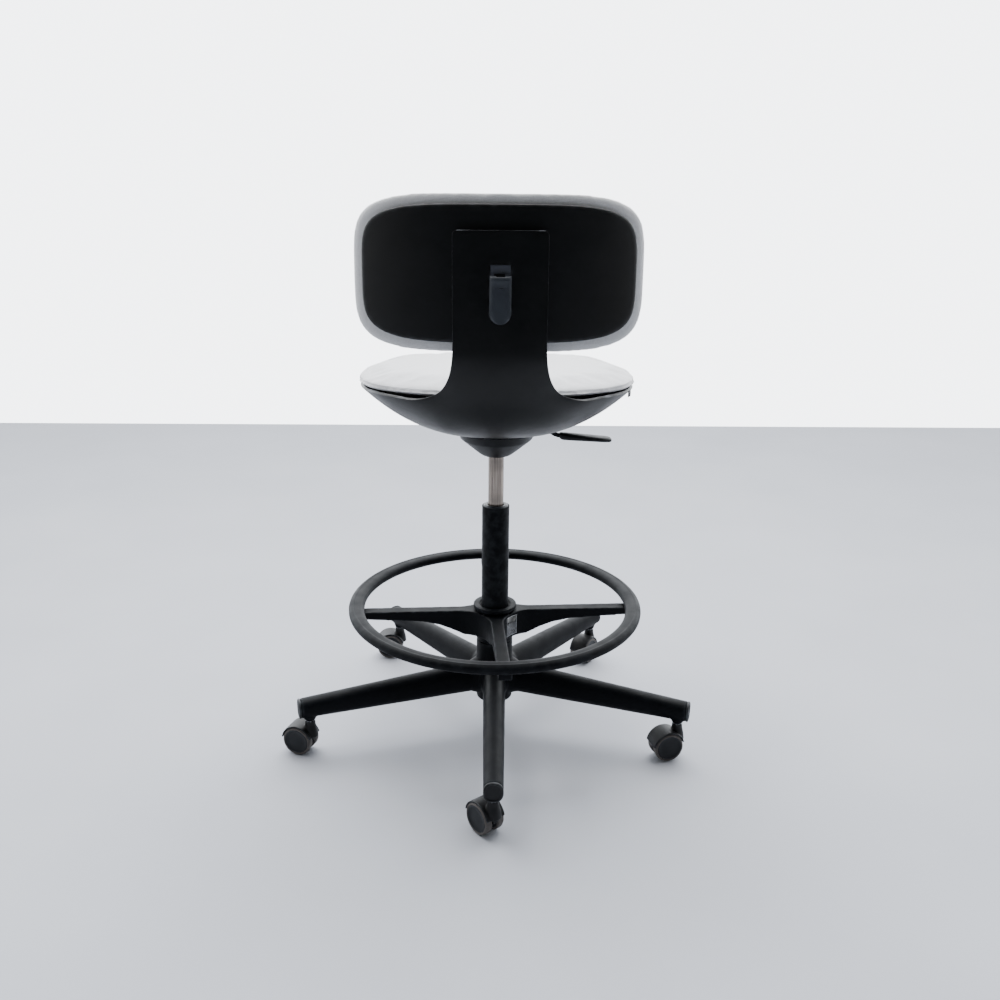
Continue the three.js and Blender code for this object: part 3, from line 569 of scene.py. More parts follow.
def loft(rings, ends="fan"):
    """A closed skin through rings of equal count. A zipped end joins the two long
    sides of its ring, so that it follows a bend; a fan end meets in the middle."""
    count = len(rings[0])
    points = [p for ring in rings for p in ring]
    faces = []
    for i in range(len(rings) - 1):
        for j in range(count):
            a = i * count + j
            b = i * count + (j + 1) % count
            faces.append((a, b, b + count, a + count))
    for row in (0, len(rings) - 1):
        start = row * count
        if ends == "fan":
            hub = len(points)
            points.append(sum((Vector(p) for p in rings[row]), Vector()) / count)
            faces.extend([(start + j, start + (j + 1) % count, hub) for j in range(count)])
        else:
            half = count // 2
            faces.append((start, start + 1, start + count - 1))
            faces.append((start + half, start + half - 1, start + half + 1))
            for j in range(1, half - 1):
                faces.append((start + j, start + j + 1, start + count - j - 1, start + count - j))
    return points, faces


def super_radius(angle, half_x, half_y, exponent):
    """Distance from the centre to a superellipse, at an angle from +X."""
    across = abs(math.cos(angle) / half_x) ** exponent
    up = abs(math.sin(angle) / half_y) ** exponent
    return (across + up) ** (-1 / exponent)


def oval(half_x, half_y, exponent, count):
    """Points of a superellipse round the origin."""
    points = []
    for i in range(count):
        angle = TAU * i / count
        reach = super_radius(angle, half_x, half_y, exponent)
        points.append((reach * math.cos(angle), reach * math.sin(angle)))
    return points


def even(points):
    """A place along a line of points, from a share of its length from 0 to 1."""
    lengths = [0.0]
    for before, after in zip(points, points[1:]):
        lengths.append(lengths[-1] + (after - before).length)

    def at(share):
        target = min(max(share, 0.0), 1.0) * lengths[-1]
        low, high = 0, len(lengths) - 1
        while high - low > 1:
            middle = (low + high) // 2
            if lengths[middle] <= target:
                low = middle
            else:
                high = middle
        span = lengths[high] - lengths[low]
        return points[low].lerp(points[high], (target - lengths[low]) / span if span else 0)

    return at


def smooth_line(knots, steps=16):
    """Centripetal Catmull-Rom line through the knots."""
    ends = [knots[0] * 2 - knots[1], *knots, knots[-1] * 2 - knots[-2]]
    line = []
    for p0, p1, p2, p3 in zip(ends, ends[1:], ends[2:], ends[3:]):
        before, here, after = ((b - a).length ** 0.5 for a, b in ((p0, p1), (p1, p2), (p2, p3)))
        start = ((p1 - p0) / before - (p2 - p0) / (before + here) + (p2 - p1) / here) * here
        end = ((p2 - p1) / here - (p3 - p1) / (here + after) + (p3 - p2) / after) * here
        for k in range(steps):
            t = k / steps
            line.append(
                p1 * (2 * t ** 3 - 3 * t ** 2 + 1) + start * (t ** 3 - 2 * t ** 2 + t)
                + p2 * (3 * t ** 2 - 2 * t ** 3) + end * (t ** 3 - t ** 2)
            )
    line.append(knots[-1])
    return line


def bezier(a, b, c, d, steps=60):
    line = []
    for k in range(steps):
        t = k / steps
        s = 1 - t
        line.append(a * s ** 3 + b * 3 * s * s * t + c * 3 * s * t * t + d * t ** 3)
    return line


def rod(points, radius):
    """A round bar along a smooth line."""
    line = smooth_line([Vector(p) for p in points], 10)
    rings = []
    sides = 20
    side = Vector((0, 1, 0))
    count = len(line)
    for i, point in enumerate(line):
        ahead = (line[min(i + 1, count - 1)] - line[max(i - 1, 0)]).normalized()
        across = (side - ahead * side.dot(ahead)).normalized()
        up = ahead.cross(across)
        ring = []
        for j in range(sides):
            angle = TAU * j / sides
            ring.append(point + (across * math.cos(angle) + up * math.sin(angle)) * radius)
        rings.append(ring)
    return loft(rings)


# ---------------------------------------------------------------- base

def leg_section(radius, grow, count=28):
    """Oval section of a leg that points along +X, thinner towards the tip."""
    share = (radius - leg_root_radius) / (leg_tip_radius - leg_root_radius)
    bottom = leg_root["bottom"] + (leg_tip["bottom"] - leg_root["bottom"]) * share - grow
    top = leg_root["top"] + (leg_tip["top"] - leg_root["top"]) * share + grow
    half_width = (leg_root["width"] + (leg_tip["width"] - leg_root["width"]) * share) / 2 + grow
    section = oval(half_width, (top - bottom) / 2, 2.4, count)
    return [Vector((radius, y, z + (top + bottom) / 2)) for y, z in section]


def base_casting():
    leg = loft([leg_section(radius, 0) for radius in (leg_root_radius, 140, 260, leg_tip_radius - 0.2)])
    socket = lathe([(0, 69.6), (9.5, 69.6), (11, 71), (12.5, 84), (0, 84)], 32)
    socket = shifted(socket, caster_radius, 0, 0)
    flare = loft([leg_section(radius, grow) for radius, grow in (
        (18, 10), (hub_radius + 2, 5), (hub_radius + 14, 0.5), (hub_radius + 24, -1),
    )])
    legs = [turned_about_z(shape, angle) for angle in leg_angles for shape in (leg, socket, flare)]
    hub = lathe(rounded_profile([
        (tube_radius + 0.6, hub_bottom),
        (hub_radius - 1, hub_bottom),
        (hub_radius, hub_bottom + 2),
        (hub_radius, hub_top),
        (tube_radius + 0.6, hub_top),
    ], 1.5), 96)
    base = piece("base_casting", combined(hub, *legs), "powder")
    remesh_evenly(base, 2.2)
    soften(base, 5)
    bore_for_tube(base, hub_bottom, hub_top)
    settle(base, "base", "black_powder_coat", "five_star_base")


def bore_for_tube(casting, low, high):
    """Round hole for the stand tube, right through a casting."""
    radius = tube_radius + 0.5
    past = 5
    hole = lathe([(0, low - past), (radius, low - past), (radius, high + past), (0, high + past)], 96)
    cut_out(casting, hole, "powder")
    casting.data.shade_smooth()


def leg_end_caps():
    """Dished oval plug with a raised rim, in the end of each leg."""
    cap = loft([leg_section(leg_tip_radius + out, grow, 48) for out, grow in (
        (-4, -3), (0.2, -3), (0.3, 0), (2.6, 0.1), (3.9, -0.6), (4.5, -1.9),
        (4.2, -3.2), (3.2, -4.2), (2.9, -6), (3.1, -10), (3.3, -14),
    )])
    for i, angle in enumerate(leg_angles):
        plug = piece(f"leg_end_cap_{i + 1}", turned_about_z(cap, angle), "plastic")
        settle(plug, "base", "black_plastic", f"leg_plug_{i + 1}")


# ---------------------------------------------------------------- casters

def caster_hood_mesh():
    """Web between the wheels, hood over their tread and boss round the stem; its
    origin is on the floor under the stem, and the axle lies along Y."""
    half_web = 5.2
    half_hood = 18.6

    def slab(outline, half_depth):
        front = [(x, -half_depth, z) for x, z in outline]
        back = [(x, half_depth, z) for x, z in outline]
        return loft([front, back])

    def arc(radius, start, end, steps):
        turns = [math.radians(start + (end - start) * k / steps) for k in range(steps + 1)]
        return [(radius * math.cos(turn), radius * math.sin(turn)) for turn in turns]

    front_end = 8
    rear_end = 164
    web = slab([*arc(wheel_radius + 1, 0, 180, 30), (-14, -6), (0, -9), (14, -6)], half_web)
    cover = slab([
        *arc(wheel_radius + 3, front_end, rear_end, 40),
        *arc(wheel_radius + 0.6, rear_end, front_end, 40),
    ], half_hood)
    placed = shifted(combined(web, cover), caster_trail, 0, wheel_radius)
    neck = lathe([(0, 36), (14, 36), (12.5, 48), (9.6, 60), (9.2, 68.2), (8, 69), (0, 69)], 40)
    hood = piece("caster_hood_pattern", combined(placed, neck), "plastic")
    hood.data.transform(Matrix.Translation(-column))
    remesh_evenly(hood, 1.0)
    soften(hood, 4)
    apply_modifiers(hood)
    mesh = hood.data
    bpy.data.objects.remove(hood)
    return mesh


def caster_wheel_mesh():
    """A wheel with its tread, raised rim and dished disc, its inner face at z = 0."""
    width = 14
    tread = rounded_profile([
        (wheel_radius - 4.2, 0.2),
        (wheel_radius - 1.2, 0.2),
        (wheel_radius, 2),
        (wheel_radius, width - 3.4),
        (wheel_radius - 1.6, width - 0.6),
        (wheel_radius - 4.2, width - 0.2),
    ], 1.2)
    disc = [
        (0, width - 5), (3.3, width - 5), (3.3, 0.4), (wheel_radius - 4.4, 0.4),
        (wheel_radius - 4.4, width - 1.5), (wheel_radius - 4.8, width - 0.9),
        (wheel_radius - 6.2, width - 0.8), (wheel_radius - 7.4, width - 1.5),
        (12, width - 1.9), (5, width - 1.7), (0, width - 1.6),
    ]
    shapes = [lathe(tread, 72), lathe(disc, 72)]
    mesh = mesh_of("caster_wheel", *combined(*shapes))
    mesh.materials.append(looks["tread"])
    mesh.materials.append(looks["disc"])
    tread_faces = len(shapes[0][1])
    for face in mesh.polygons:
        face.material_index = 0 if face.index < tread_faces else 1
    return mesh


def casters():
    hood_mesh = caster_hood_mesh()
    wheel_mesh = caster_wheel_mesh()
    wheel_offset = 5.5 * MM
    for number, stem, axle in zip(range(1, leg_count + 1), stem_places, axle_places):
        trail = axle - stem
        heading = math.atan2(trail.y, trail.x)
        foot = Matrix.Translation(column + Vector((stem.x, stem.y, 0)) * MM)
        turned = foot @ Matrix.Rotation(heading, 4, "Z")
        hood = new_object(f"caster_fork_{number}", hood_mesh, "plastic")
        hood.matrix_world = turned
        settle(hood, f"caster_{number}", "black_plastic", f"caster_hood_{number}")
        to_axle = turned @ Matrix.Translation(Vector((caster_trail, 0, wheel_radius)) * MM)
        for side, sign in (("left", 1), ("right", -1)):
            aside = Matrix.Translation((0, sign * wheel_offset, 0))
            on_edge = Matrix.Rotation(-sign * math.pi / 2, 4, "X")
            wheel = new_object(f"caster_roller_{side}_{number}", wheel_mesh, "tread")
            wheel.matrix_world = to_axle @ aside @ on_edge
            settle(wheel, f"wheel_{side}_{number}", "wheel_plastic", f"caster_wheel_{side}_{number}")


# ---------------------------------------------------------------- lift column

def lift_column():
    wall = 2
    rod_hole = 6
    tube = rounded_profile([
        (rod_hole, tube_bottom), (tube_radius, tube_bottom), (tube_radius, tube_top),
        (tube_radius - wall, tube_top), (tube_radius - wall, tube_bottom + 3), (rod_hole, tube_bottom + 3),
    ], 0.9)
    settle(piece("column_tube", lathe(tube, 128), "powder"), "base", "black_powder_coat", "stand_tube")

    bush_low, bush_top = heights_of("guide_bush")
    outer = tube_radius - wall - 0.3
    inner = cylinder_radius + 0.35
    bush = rounded_profile([
        (inner, bush_low), (outer, bush_low), (outer, bush_top - 1.6), (outer - 2.2, bush_top - 1.2),
        (outer - 3, bush_top), (inner + 1.6, bush_top), (inner, bush_top - 1.6),
    ], 0.6)
    settle(piece("column_bush", lathe(bush, 128), "grey"), "base", "grey_plastic", "guide_bush")

    taper = size_of("mechanism_cover")[0].z + 18
    bore = cylinder_radius - 1.5
    floor = cylinder_bottom + 12
    cylinder = rounded_profile([
        (rod_hole, cylinder_bottom), (cylinder_radius, cylinder_bottom), (cylinder_radius, taper),
        (cylinder_radius - 1, cylinder_top), (4, cylinder_top), (4, cylinder_top - 12),
        (bore, cylinder_top - 16), (bore, floor), (rod_hole, floor),
    ], 0.6)
    pressure_tube = piece("lift_cylinder", lathe(cylinder, 128), "cylinder")
    settle(pressure_tube, "seat", "cylinder_steel", "gas_cylinder")


# ---------------------------------------------------------------- footring

spoke_half_width = 11.5
spoke_fillet = 58
fillet_centre = spoke_half_width + spoke_fillet
spoke_end = ring_radius + 4


def ring_section():
    """Oval section with a crease where the rounded tread of the ring begins."""
    points = []
    count = 60
    crease = math.radians(58)
    crease_depth = 0.9
    crease_width = 0.12
    for i in range(count):
        angle = TAU * i / count
        reach = super_radius(angle, ring_half_width, ring_half_height, 2.5)
        if crease < angle < math.pi:
            reach -= crease_depth * min(1, (angle - crease) / crease_width)
        points.append((ring_radius + reach * math.cos(angle), ring_height + reach * math.sin(angle)))
    return points


def web_bottom(reach):
    """Height of the underside of a spoke at a distance from the column."""
    knots = [(24, 49), (60, 48), (84, 36), (107, 27), (140, 20), (spoke_end + 4, 13)]
    for (r0, d0), (r1, d1) in zip(knots, knots[1:]):
        if reach <= r1:
            share = max(0, (reach - r0) / (r1 - r0))
            return spoke_top - (d0 + (d1 - d0) * share)
    return spoke_top - knots[-1][1]


def spoke():
    """One arm of the cross along +X, widening in a hollow curve to meet its neighbours."""
    rings = []
    steps = 56
    start = fillet_centre - spoke_fillet / math.sqrt(2)
    for i in range(steps + 1):
        along = start + (spoke_end - start) * (i / steps) ** 1.3
        if along < fillet_centre:
            half = fillet_centre - math.sqrt(spoke_fillet ** 2 - (fillet_centre - along) ** 2)
        else:
            half = spoke_half_width
        sides = [half * (1 - k / 4) for k in range(9)]
        ring = [(along, side, spoke_top) for side in sides]
        ring += [(along, side, web_bottom(math.hypot(along, side))) for side in reversed(sides)]
        rings.append(ring)
    return loft(rings)


def footring():
    turn = math.pi / 2 + ring_turn
    ring = piece("footring_loop", lathe(ring_section(), 180), "powder")
    settle(ring, "base", "black_powder_coat", "footring")
    arms = [turned_about_z(spoke(), turn + k * math.pi / 2) for k in range(4)]
    sleeve = lathe([
        (tube_radius - 3, sleeve_bottom), (hub_radius, sleeve_bottom),
        (hub_radius, spoke_top), (tube_radius - 3, spoke_top),
    ], 96)
    cross = piece("footring_spokes", combined(sleeve, *arms), "powder")
    remesh_evenly(cross, 1.6)
    soften(cross, 3)
    bore_for_tube(cross, sleeve_bottom, spoke_top)
    settle(cross, "base", "black_powder_coat")

    neck = collar_radius - 4
    inner = tube_radius + 0.6
    flange_bottom = collar_top - 7
    collar = rounded_profile([
        (inner, spoke_top + 0.2), (neck, spoke_top + 0.2), (neck, flange_bottom),
        (collar_radius, flange_bottom), (collar_radius, collar_top),
        (tube_radius + 5, collar_top), (tube_radius + 3, collar_top - 3), (inner, collar_top - 3),
    ], 1.1)
    clamp = piece("footring_clamp", lathe(collar, 128), "powder")
    settle(clamp, "base", "black_powder_coat", "footring_collar")
    blank_label(turn)


def blank_label(turn):
    """A dark film label with a pale printed border and nothing written on it."""
    middle_turn = math.radians(225)
    half_turn = math.radians(14)
    low = spoke_top - 43
    high = spoke_top - 5

    def patch(margin, inner, outer):
        """Panel on the hollow wall, kept in from the label's edge by a margin."""
        half_panel = half_turn - margin / spoke_fillet
        rings = []
        steps = 24
        for i in range(steps + 1):
            angle = middle_turn + half_panel * (2 * i / steps - 1)
            ring = []
            for radius, height in ((outer, low + margin), (outer, high - margin),
                                   (inner, high - margin), (inner, low + margin)):
                ring.append((
                    fillet_centre + radius * math.cos(angle),
                    fillet_centre + radius * math.sin(angle),
                    height,
                ))
            rings.append(ring)
        return turned_about_z(loft(rings), turn)

    wall = spoke_fillet - 0.25
    border = patch(0.0, wall - 0.25, wall)
    middle = patch(1.0, wall - 0.35, wall)
    label = piece("blank_label", combined(border, middle), "film")
    label.data.materials.append(looks["border"])
    for face in label.data.polygons:
        face.material_index = 1 if face.index < len(border[1]) else 0
    settle(label, "base", "label_film", "footring_label")


# ---------------------------------------------------------------- seat shell and tongue

def rim_at(y):
    return rim_height + seat_tilt * y


def seat_outline(angle, inset=0.0):
    front = math.sin(angle) < 0
    half_depth = (seat_front_depth if front else seat_half_depth) - inset
    roundness = seat_front_roundness if front else seat_roundness
    reach = super_radius(angle, seat_half_width - inset, half_depth, roundness)
    return Vector((reach * math.cos(angle), seat_centre_y + reach * math.sin(angle), 0))


def shell_edge():
    """Edge of the shell on the +X side: round the rim, then up the tongue."""
    knots = []
    for step in range(11):
        point = seat_outline(math.radians(-62 + 11.5 * step))
        point.z = rim_at(point.y)
        knots.append(point)
    knots.extend(Vector(p) for p in ((97, 181, 697), (82, 198, 719), (75, 210, 745)))
    for share in (0, 0.33, 0.67, 1):
        point = tongue_root.lerp(tongue_top, share)
        knots.append(Vector((tongue_half_width, point.y - tongue_curve, point.z)))
    return smooth_line(knots)


def shell_centre():
    """Centre line of the shell: front lip, under the seat and up the tongue."""
    front = Vector((0, seat_centre_y - seat_front_depth + 2, rim_at(-seat_front_depth) - 1))
    low = Vector((0, 5, shell_bottom))
    lean = (tongue_top - tongue_root).normalized()
    line = bezier(front, Vector((0, front.y + 14, front.z - 52)), Vector((0, low.y - 120, low.z)), low)
    line += bezier(low, Vector((0, low.y + 115, low.z)), tongue_root - lean * 115, tongue_root)
    return line + [tongue_root, tongue_top]


edge_line = shell_edge()
edge_at = even(edge_line)
centre_at = even(shell_centre())
edge_length = sum((b - a).length for a, b in zip(edge_line, edge_line[1:]))
shell_crown = 2.45
corner_radius = 8  # of the tongue's top corners


def shell_point(u, t):
    """Outside of the shell: u from the front lip to the tongue's top, t from -1 to 1."""
    edge = edge_at(u)
    centre = centre_at(u)
    from_top = (1 - u) * edge_length
    half = edge.x
    if from_top < corner_radius:
        half -= corner_radius - math.sqrt(corner_radius ** 2 - (corner_radius - from_top) ** 2)
    lift = abs(t) ** shell_crown
    return Vector((t * half, centre.y + (edge.y - centre.y) * lift, centre.z + (edge.z - centre.z) * lift))


def underside_at(x, y):
    """Height of the shell's underside over a point near the middle of the seat."""
    low, high = 0.0, 0.75
    point = shell_point(low, 0)
    for _ in range(24):
        u = (low + high) / 2
        point = shell_point(u, x / edge_at(u).x)
        if point.y < y:
            low = u
        else:
            high = u
    return point.z


def shell_rows():
    corner = corner_radius / edge_length
    rows = [(1 - corner) * i / 110 for i in range(111)]
    rows += [1 - corner * (1 - math.sin(math.pi / 2 * k / 8)) for k in range(1, 8)]
    return rows + [1 - 1e-5]


def shell_skin():
    rows = shell_rows()
    crowding = math.pi / 2 * 0.92  # columns stand closer together towards the edges
    columns = [math.sin((2 * j / 60 - 1) * crowding) / math.sin(crowding) for j in range(61)]
    step = 5e-4
    outer = []
    inner = []
    for u in rows:
        for t in columns:
            v = min(max(t, step - 1), 1 - step)
            w = min(max(u, step), 1 - corner_radius / edge_length)
            along = shell_point(w + step, v) - shell_point(w - step, v)
            across = shell_point(w, v + step) - shell_point(w, v - step)
            normal = along.cross(across).normalized()
            here = shell_point(u, t)
            outer.append(here)
            inner.append(here - normal * shell_wall)
    width = len(columns)
    shift = len(outer)
    last_row = (len(rows) - 1) * width
    faces = []
    for i in range(len(rows) - 1):
        for j in range(width - 1):
            a = i * width + j
            faces.append((a, a + width, a + width + 1, a + 1))
            faces.append((a + shift, a + 1 + shift, a + width + 1 + shift, a + width + shift))
        for a in (i * width, i * width + width - 1):
            faces.append((a, a + shift, a + width + shift, a + width))
    for j in range(width - 1):
        for a in (j, last_row + j):
            faces.append((a, a + 1, a + 1 + shift, a + shift))
    return outer + inner, faces


def on_tongue(point):
    """Leans something made upright at y = 0 against the back face of the tongue."""
    lean = Matrix.Rotation(back_lean, 4, "X")
    offset = Vector((0, tongue_top.y, tongue_top.z))
    return offset + lean @ (Vector(point) - Vector((0, 0, tongue_top.z)))


def leaned(shape):
    points, faces = shape
    return [on_tongue(p) for p in points], faces


def block(width, depth, height, x, y, z):
    """A box with its middle at x, y, z."""
    corners = [(i, j, k) for k in (-1, 1) for i, j in ((-1, -1), (1, -1), (1, 1), (-1, 1))]
    points = [(x + i * width / 2, y + j * depth / 2, z + k * height / 2) for i, j, k in corners]
    faces = [(0, 1, 2, 3), (4, 5, 6, 7)]
    faces += [(i, (i + 1) % 4, (i + 1) % 4 + 4, i + 4) for i in range(4)]
    return points, faces


slot_half_width = 15.5
slot_bottom = 822
slot_top = 899


def seat_shell():
    """Bowl and tongue in one moulding, cut out for the clip, the gas lift and the lever."""
    shell = piece("seat_bowl_and_tongue", shell_skin(), "shell")
    round_edges(shell, 1.7, 3, 50)
    slot_height = slot_top - slot_bottom
    slot = block(2 * slot_half_width, 40, slot_height, 0, 0, (slot_top + slot_bottom) / 2)
    boss_radius = 27
    low = shell_bottom - 20
    high = shell_bottom + 40
    boss = lathe([(0, low), (boss_radius, low), (boss_radius, high), (0, high)])
    lever = block(40, 14, 60, -100, 0, shell_bottom + 18)
    for opening in (leaned(slot), boss, lever):
        cut_out(shell, opening, "shell")
    shell.data.shade_smooth()
    shell.data.set_sharp_from_angle(angle=math.radians(50))
    # The tongue's upward and rearward bevel faces take the pale look: a painted highlight along its edges.
    shell.data.materials.append(looks["painted edge highlight"])
    for face in shell.data.polygons:
        on_the_tongue = face.center.z / MM > tongue_root.z + 10
        on_the_bevel = 0.2 < face.normal.y < 0.93
        if on_the_tongue and on_the_bevel:
            face.material_index = 1
    settle(shell, "seat", "black_plastic", "seat_shell")


# ---------------------------------------------------------------- padding

def swell(pad, fixed, cap):
    """Stuffs a pad by cloth simulation. fixed(point) is true where the pad is held, and
    no point moves further than the cap."""
    frames = 20
    mesh = pad.data
    before = [v.co.copy() for v in mesh.vertices]
    held = pad.vertex_groups.new(name="held")
    chair_points = [(v.co - column) / MM for v in mesh.vertices]
    held.add([i for i, p in enumerate(chair_points) if fixed(p)], 1.0, "ADD")
    cloth = pad.modifiers.new("stuffing", "CLOTH")
    settings = cloth.settings
    settings.quality = 6
    settings.mass = 0.3
    settings.tension_stiffness = 25
    settings.compression_stiffness = 25
    settings.shear_stiffness = 10
    settings.bending_stiffness = 2.0
    settings.use_pressure = True
    settings.uniform_pressure_force = 4
    settings.vertex_group_mass = "held"
    settings.effector_weights.gravity = 0
    cloth.point_cache.frame_start = 1
    cloth.point_cache.frame_end = frames
    for number in range(1, frames + 1):
        bpy.context.scene.frame_set(number)
    apply_modifiers(pad)
    bpy.context.scene.frame_set(1)
    for vertex, rest in zip(pad.data.vertices, before):
        moved_by = vertex.co - rest
        if moved_by.length > cap * MM:
            vertex.co = rest + moved_by.normalized() * cap * MM
    pad.vertex_groups.clear()


def cushion(name, shape, fixed, cap):
    pad = piece(name, shape, "fabric")
    remesh_evenly(pad, 5)
    apply_modifiers(pad)
    swell(pad, fixed, cap)
    soften(pad, 4)
    subdivide(pad)
    pad.data.shade_smooth()
    return pad


def press_seam(pad, line, depth, reach, puckers, pitch):
    """Draws the pad in along a closed line of surface points and their outward
    directions, with small gathers that die away from it."""
    tree = KDTree(len(line))
    for i, (point, _) in enumerate(line):
        tree.insert(point, i)
    tree.balance()
    for vertex in pad.data.vertices:
        here = (vertex.co - column) / MM
        nearest, index, distance = tree.find(here)
        if distance < reach * 3:
            outward = line[index][1]
            draw = depth * math.exp(-(distance / reach) ** 2)
            wave = noise.noise(here / pitch) * puckers * math.exp(-(distance / (reach * 2.2)) ** 2)
            vertex.co -= outward * (draw + wave) * MM
    pad.data.update()


def stitches(name, rows, body):
    """Short rounded stitches along rows of surface points, standing just proud."""
    pitch = 4
    length = 2.9
    thickness = 0.45
    shapes = []
    section = [(thickness * math.cos(TAU * k / 6), thickness * math.sin(TAU * k / 6)) for k in range(6)]
    for row in rows:
        points = [p for p, _ in row]
        closed = points + [points[0]]
        at = even(closed)
        total = sum((b - a).length for a, b in zip(closed, closed[1:]))
        count = int(total / pitch)
        normals = [n for _, n in row]
        for i in range(count):
            share = (i + 0.5) / count
            here = at(share)
            along = (at(share + 0.3 * length / total) - at(share - 0.3 * length / total)).normalized()
            outward = normals[min(int(share * len(normals)), len(normals) - 1)]
            side = along.cross(outward).normalized()
            rings = []
            for step in (-1, -0.7, 0, 0.7, 1):
                swell = math.sqrt(max(0.05, 1 - step ** 2))
                middle = here + along * step * length / 2 + outward * (0.25 * swell)
                rings.append([middle + side * a * swell + outward * b * swell for a, b in section])
            shapes.append(loft(rings))
    thread = piece(name, combined(*shapes), "thread")
    settle(thread, body, "light_grey_fabric")


def surface_line(pad, rays):
    """Where rays given as (from, towards) meet the pad: points with outward directions."""
    surface = bmesh.new()
    surface.from_mesh(pad.data)
    tree = BVHTree.FromBMesh(surface)
    surface.free()
    line = []
    for start, target in rays:
        direction = (target - start).normalized()
        hit, normal, _, _ = tree.ray_cast(start * MM + column, direction)
        if hit is not None:
            line.append(((hit - column) / MM, normal))
    return line


back_pull = 16  # how far the seat pad stays in front of the tongue
pan_lip = 4.6  # top of the pan's lip over the rim


def seat_ring(inset, height, count=120):
    """Ring round the seat at a height over the rim, kept clear of the tongue."""
    ring = []
    for i in range(count):
        point = seat_outline(TAU * i / count, inset)
        if point.y > seat_centre_y:
            point.y -= back_pull * (point.y - seat_centre_y) / seat_half_depth
        ring.append(Vector((point.x, point.y, rim_at(point.y) + height)))
    return ring


def seat_pad():
    form = loft([seat_ring(inset, height) for inset, height in (
        (150, -12.6), (64, -12.6), (46, -10.4), (24, pan_lip + 0.6), (2, pan_lip + 0.2),
        (-3.5, pan_lip + 1.4), (-4.5, 10), (-3.5, 16), (4, 21.6), (22, 24.4), (90, 26), (150, 26.6),
    )])
    hold_height = 8.5
    pad = cushion("seat_cushion", form, lambda p: p.z < rim_at(p.y) + hold_height, 5)

    def seam(height):
        outside = seat_ring(-30, height, 360)
        return surface_line(pad, [(point, Vector((0, seat_centre_y, point.z))) for point in outside])

    press_seam(pad, seam(11), 2, 1.9, 0.9, 7)
    rows = [seam(8.6), seam(13.4)]
    settle(pad, "seat", "light_grey_fabric", "seat_pad")
    stitches("seat_seam_stitches", rows, "seat")


def seat_pan():
    """Dark dish under the pad; its lip shows as a line between the pad and the shell."""
    form = loft([seat_ring(inset, height) for inset, height in (
        (180, -22), (64, -22), (46, -19), (24, 2.2), (7.2, 2.2), (6.2, 2.6), (5.8, 3.5),
        (6.2, pan_lip - 0.4), (7.2, pan_lip), (24, pan_lip), (46, -12), (64, -14), (180, -14),
    )])
    settle(piece("cushion_pan", form, "plastic"), "seat", "black_plastic", "seat_pan")


def seat_tag():
    """Small blank ribbon, folded double and sewn into the seam over the rim."""
    low, high = size_of("seat_tag")
    middle = middle_of("seat_tag")
    outward = Vector((middle.x, middle.y - seat_centre_y, 0)).normalized()
    along = Vector((-outward.y, outward.x, 0))
    half_width = 6.5
    half_height = (high.z - low.z) / 2
    rings = []
    for i in range(13):
        share = i / 6 - 1
        ring = []
        for k in range(24):
            angle = TAU * k / 24
            fold = 0.55 + 0.25 * math.cos(angle / 2) ** 2
            wave = 0.3 * math.sin(3 * share)
            out = fold * math.copysign(abs(math.cos(angle)) ** 0.5, math.cos(angle)) + wave
            up = Vector((0, 0, half_height * math.sin(angle)))
            ring.append(middle + along * share * half_width + outward * out + up)
        rings.append(ring)
    settle(piece("blank_seam_tag", loft(rings), "tag"), "seat", "tag_textile", "seat_tag")


# ---------------------------------------------------------------- lift cover and lever

def lift_cover():
    """Flared cover whose rim follows the underside of the shell."""
    bottom = size_of("mechanism_cover")[0].z
    count = 96

    def circle(radius, height_at):
        ring = []
        for i in range(count):
            x = radius * math.cos(TAU * i / count)
            y = radius * math.sin(TAU * i / count)
            ring.append(Vector((x, y, height_at(x, y))))
        return ring

    outside = ((16, 6), (16, 0.6), (18, 0), (22, 0.7), (27, 2.8), (31, 5.6), (36, 9.6),
               (44, 16.2), (53, 23.6), (60, 29.4), (64.5, 33.6))
    under_shell = ((68, 2.2), (69.5, 1.6), (69, 1.0), (67, 1.2))
    inside = ((61, 34), (52, 26), (30, 9), (20, 7))
    skin = [circle(radius, lambda x, y: bottom + up) for radius, up in outside]
    skin += [circle(radius, lambda x, y: underside_at(x, y) - drop) for radius, drop in under_shell]
    skin += [circle(radius, lambda x, y: bottom + up) for radius, up in inside]
    points = [p for ring in skin for p in ring]
    faces = []
    for i in range(len(skin)):
        after = (i + 1) % len(skin)
        for j in range(count):
            k = (j + 1) % count
            faces.append((i * count + j, i * count + k, after * count + k, after * count + j))
    cover = piece("lift_cover", (points, faces), "plastic")
    settle(cover, "seat", "black_plastic", "mechanism_cover")


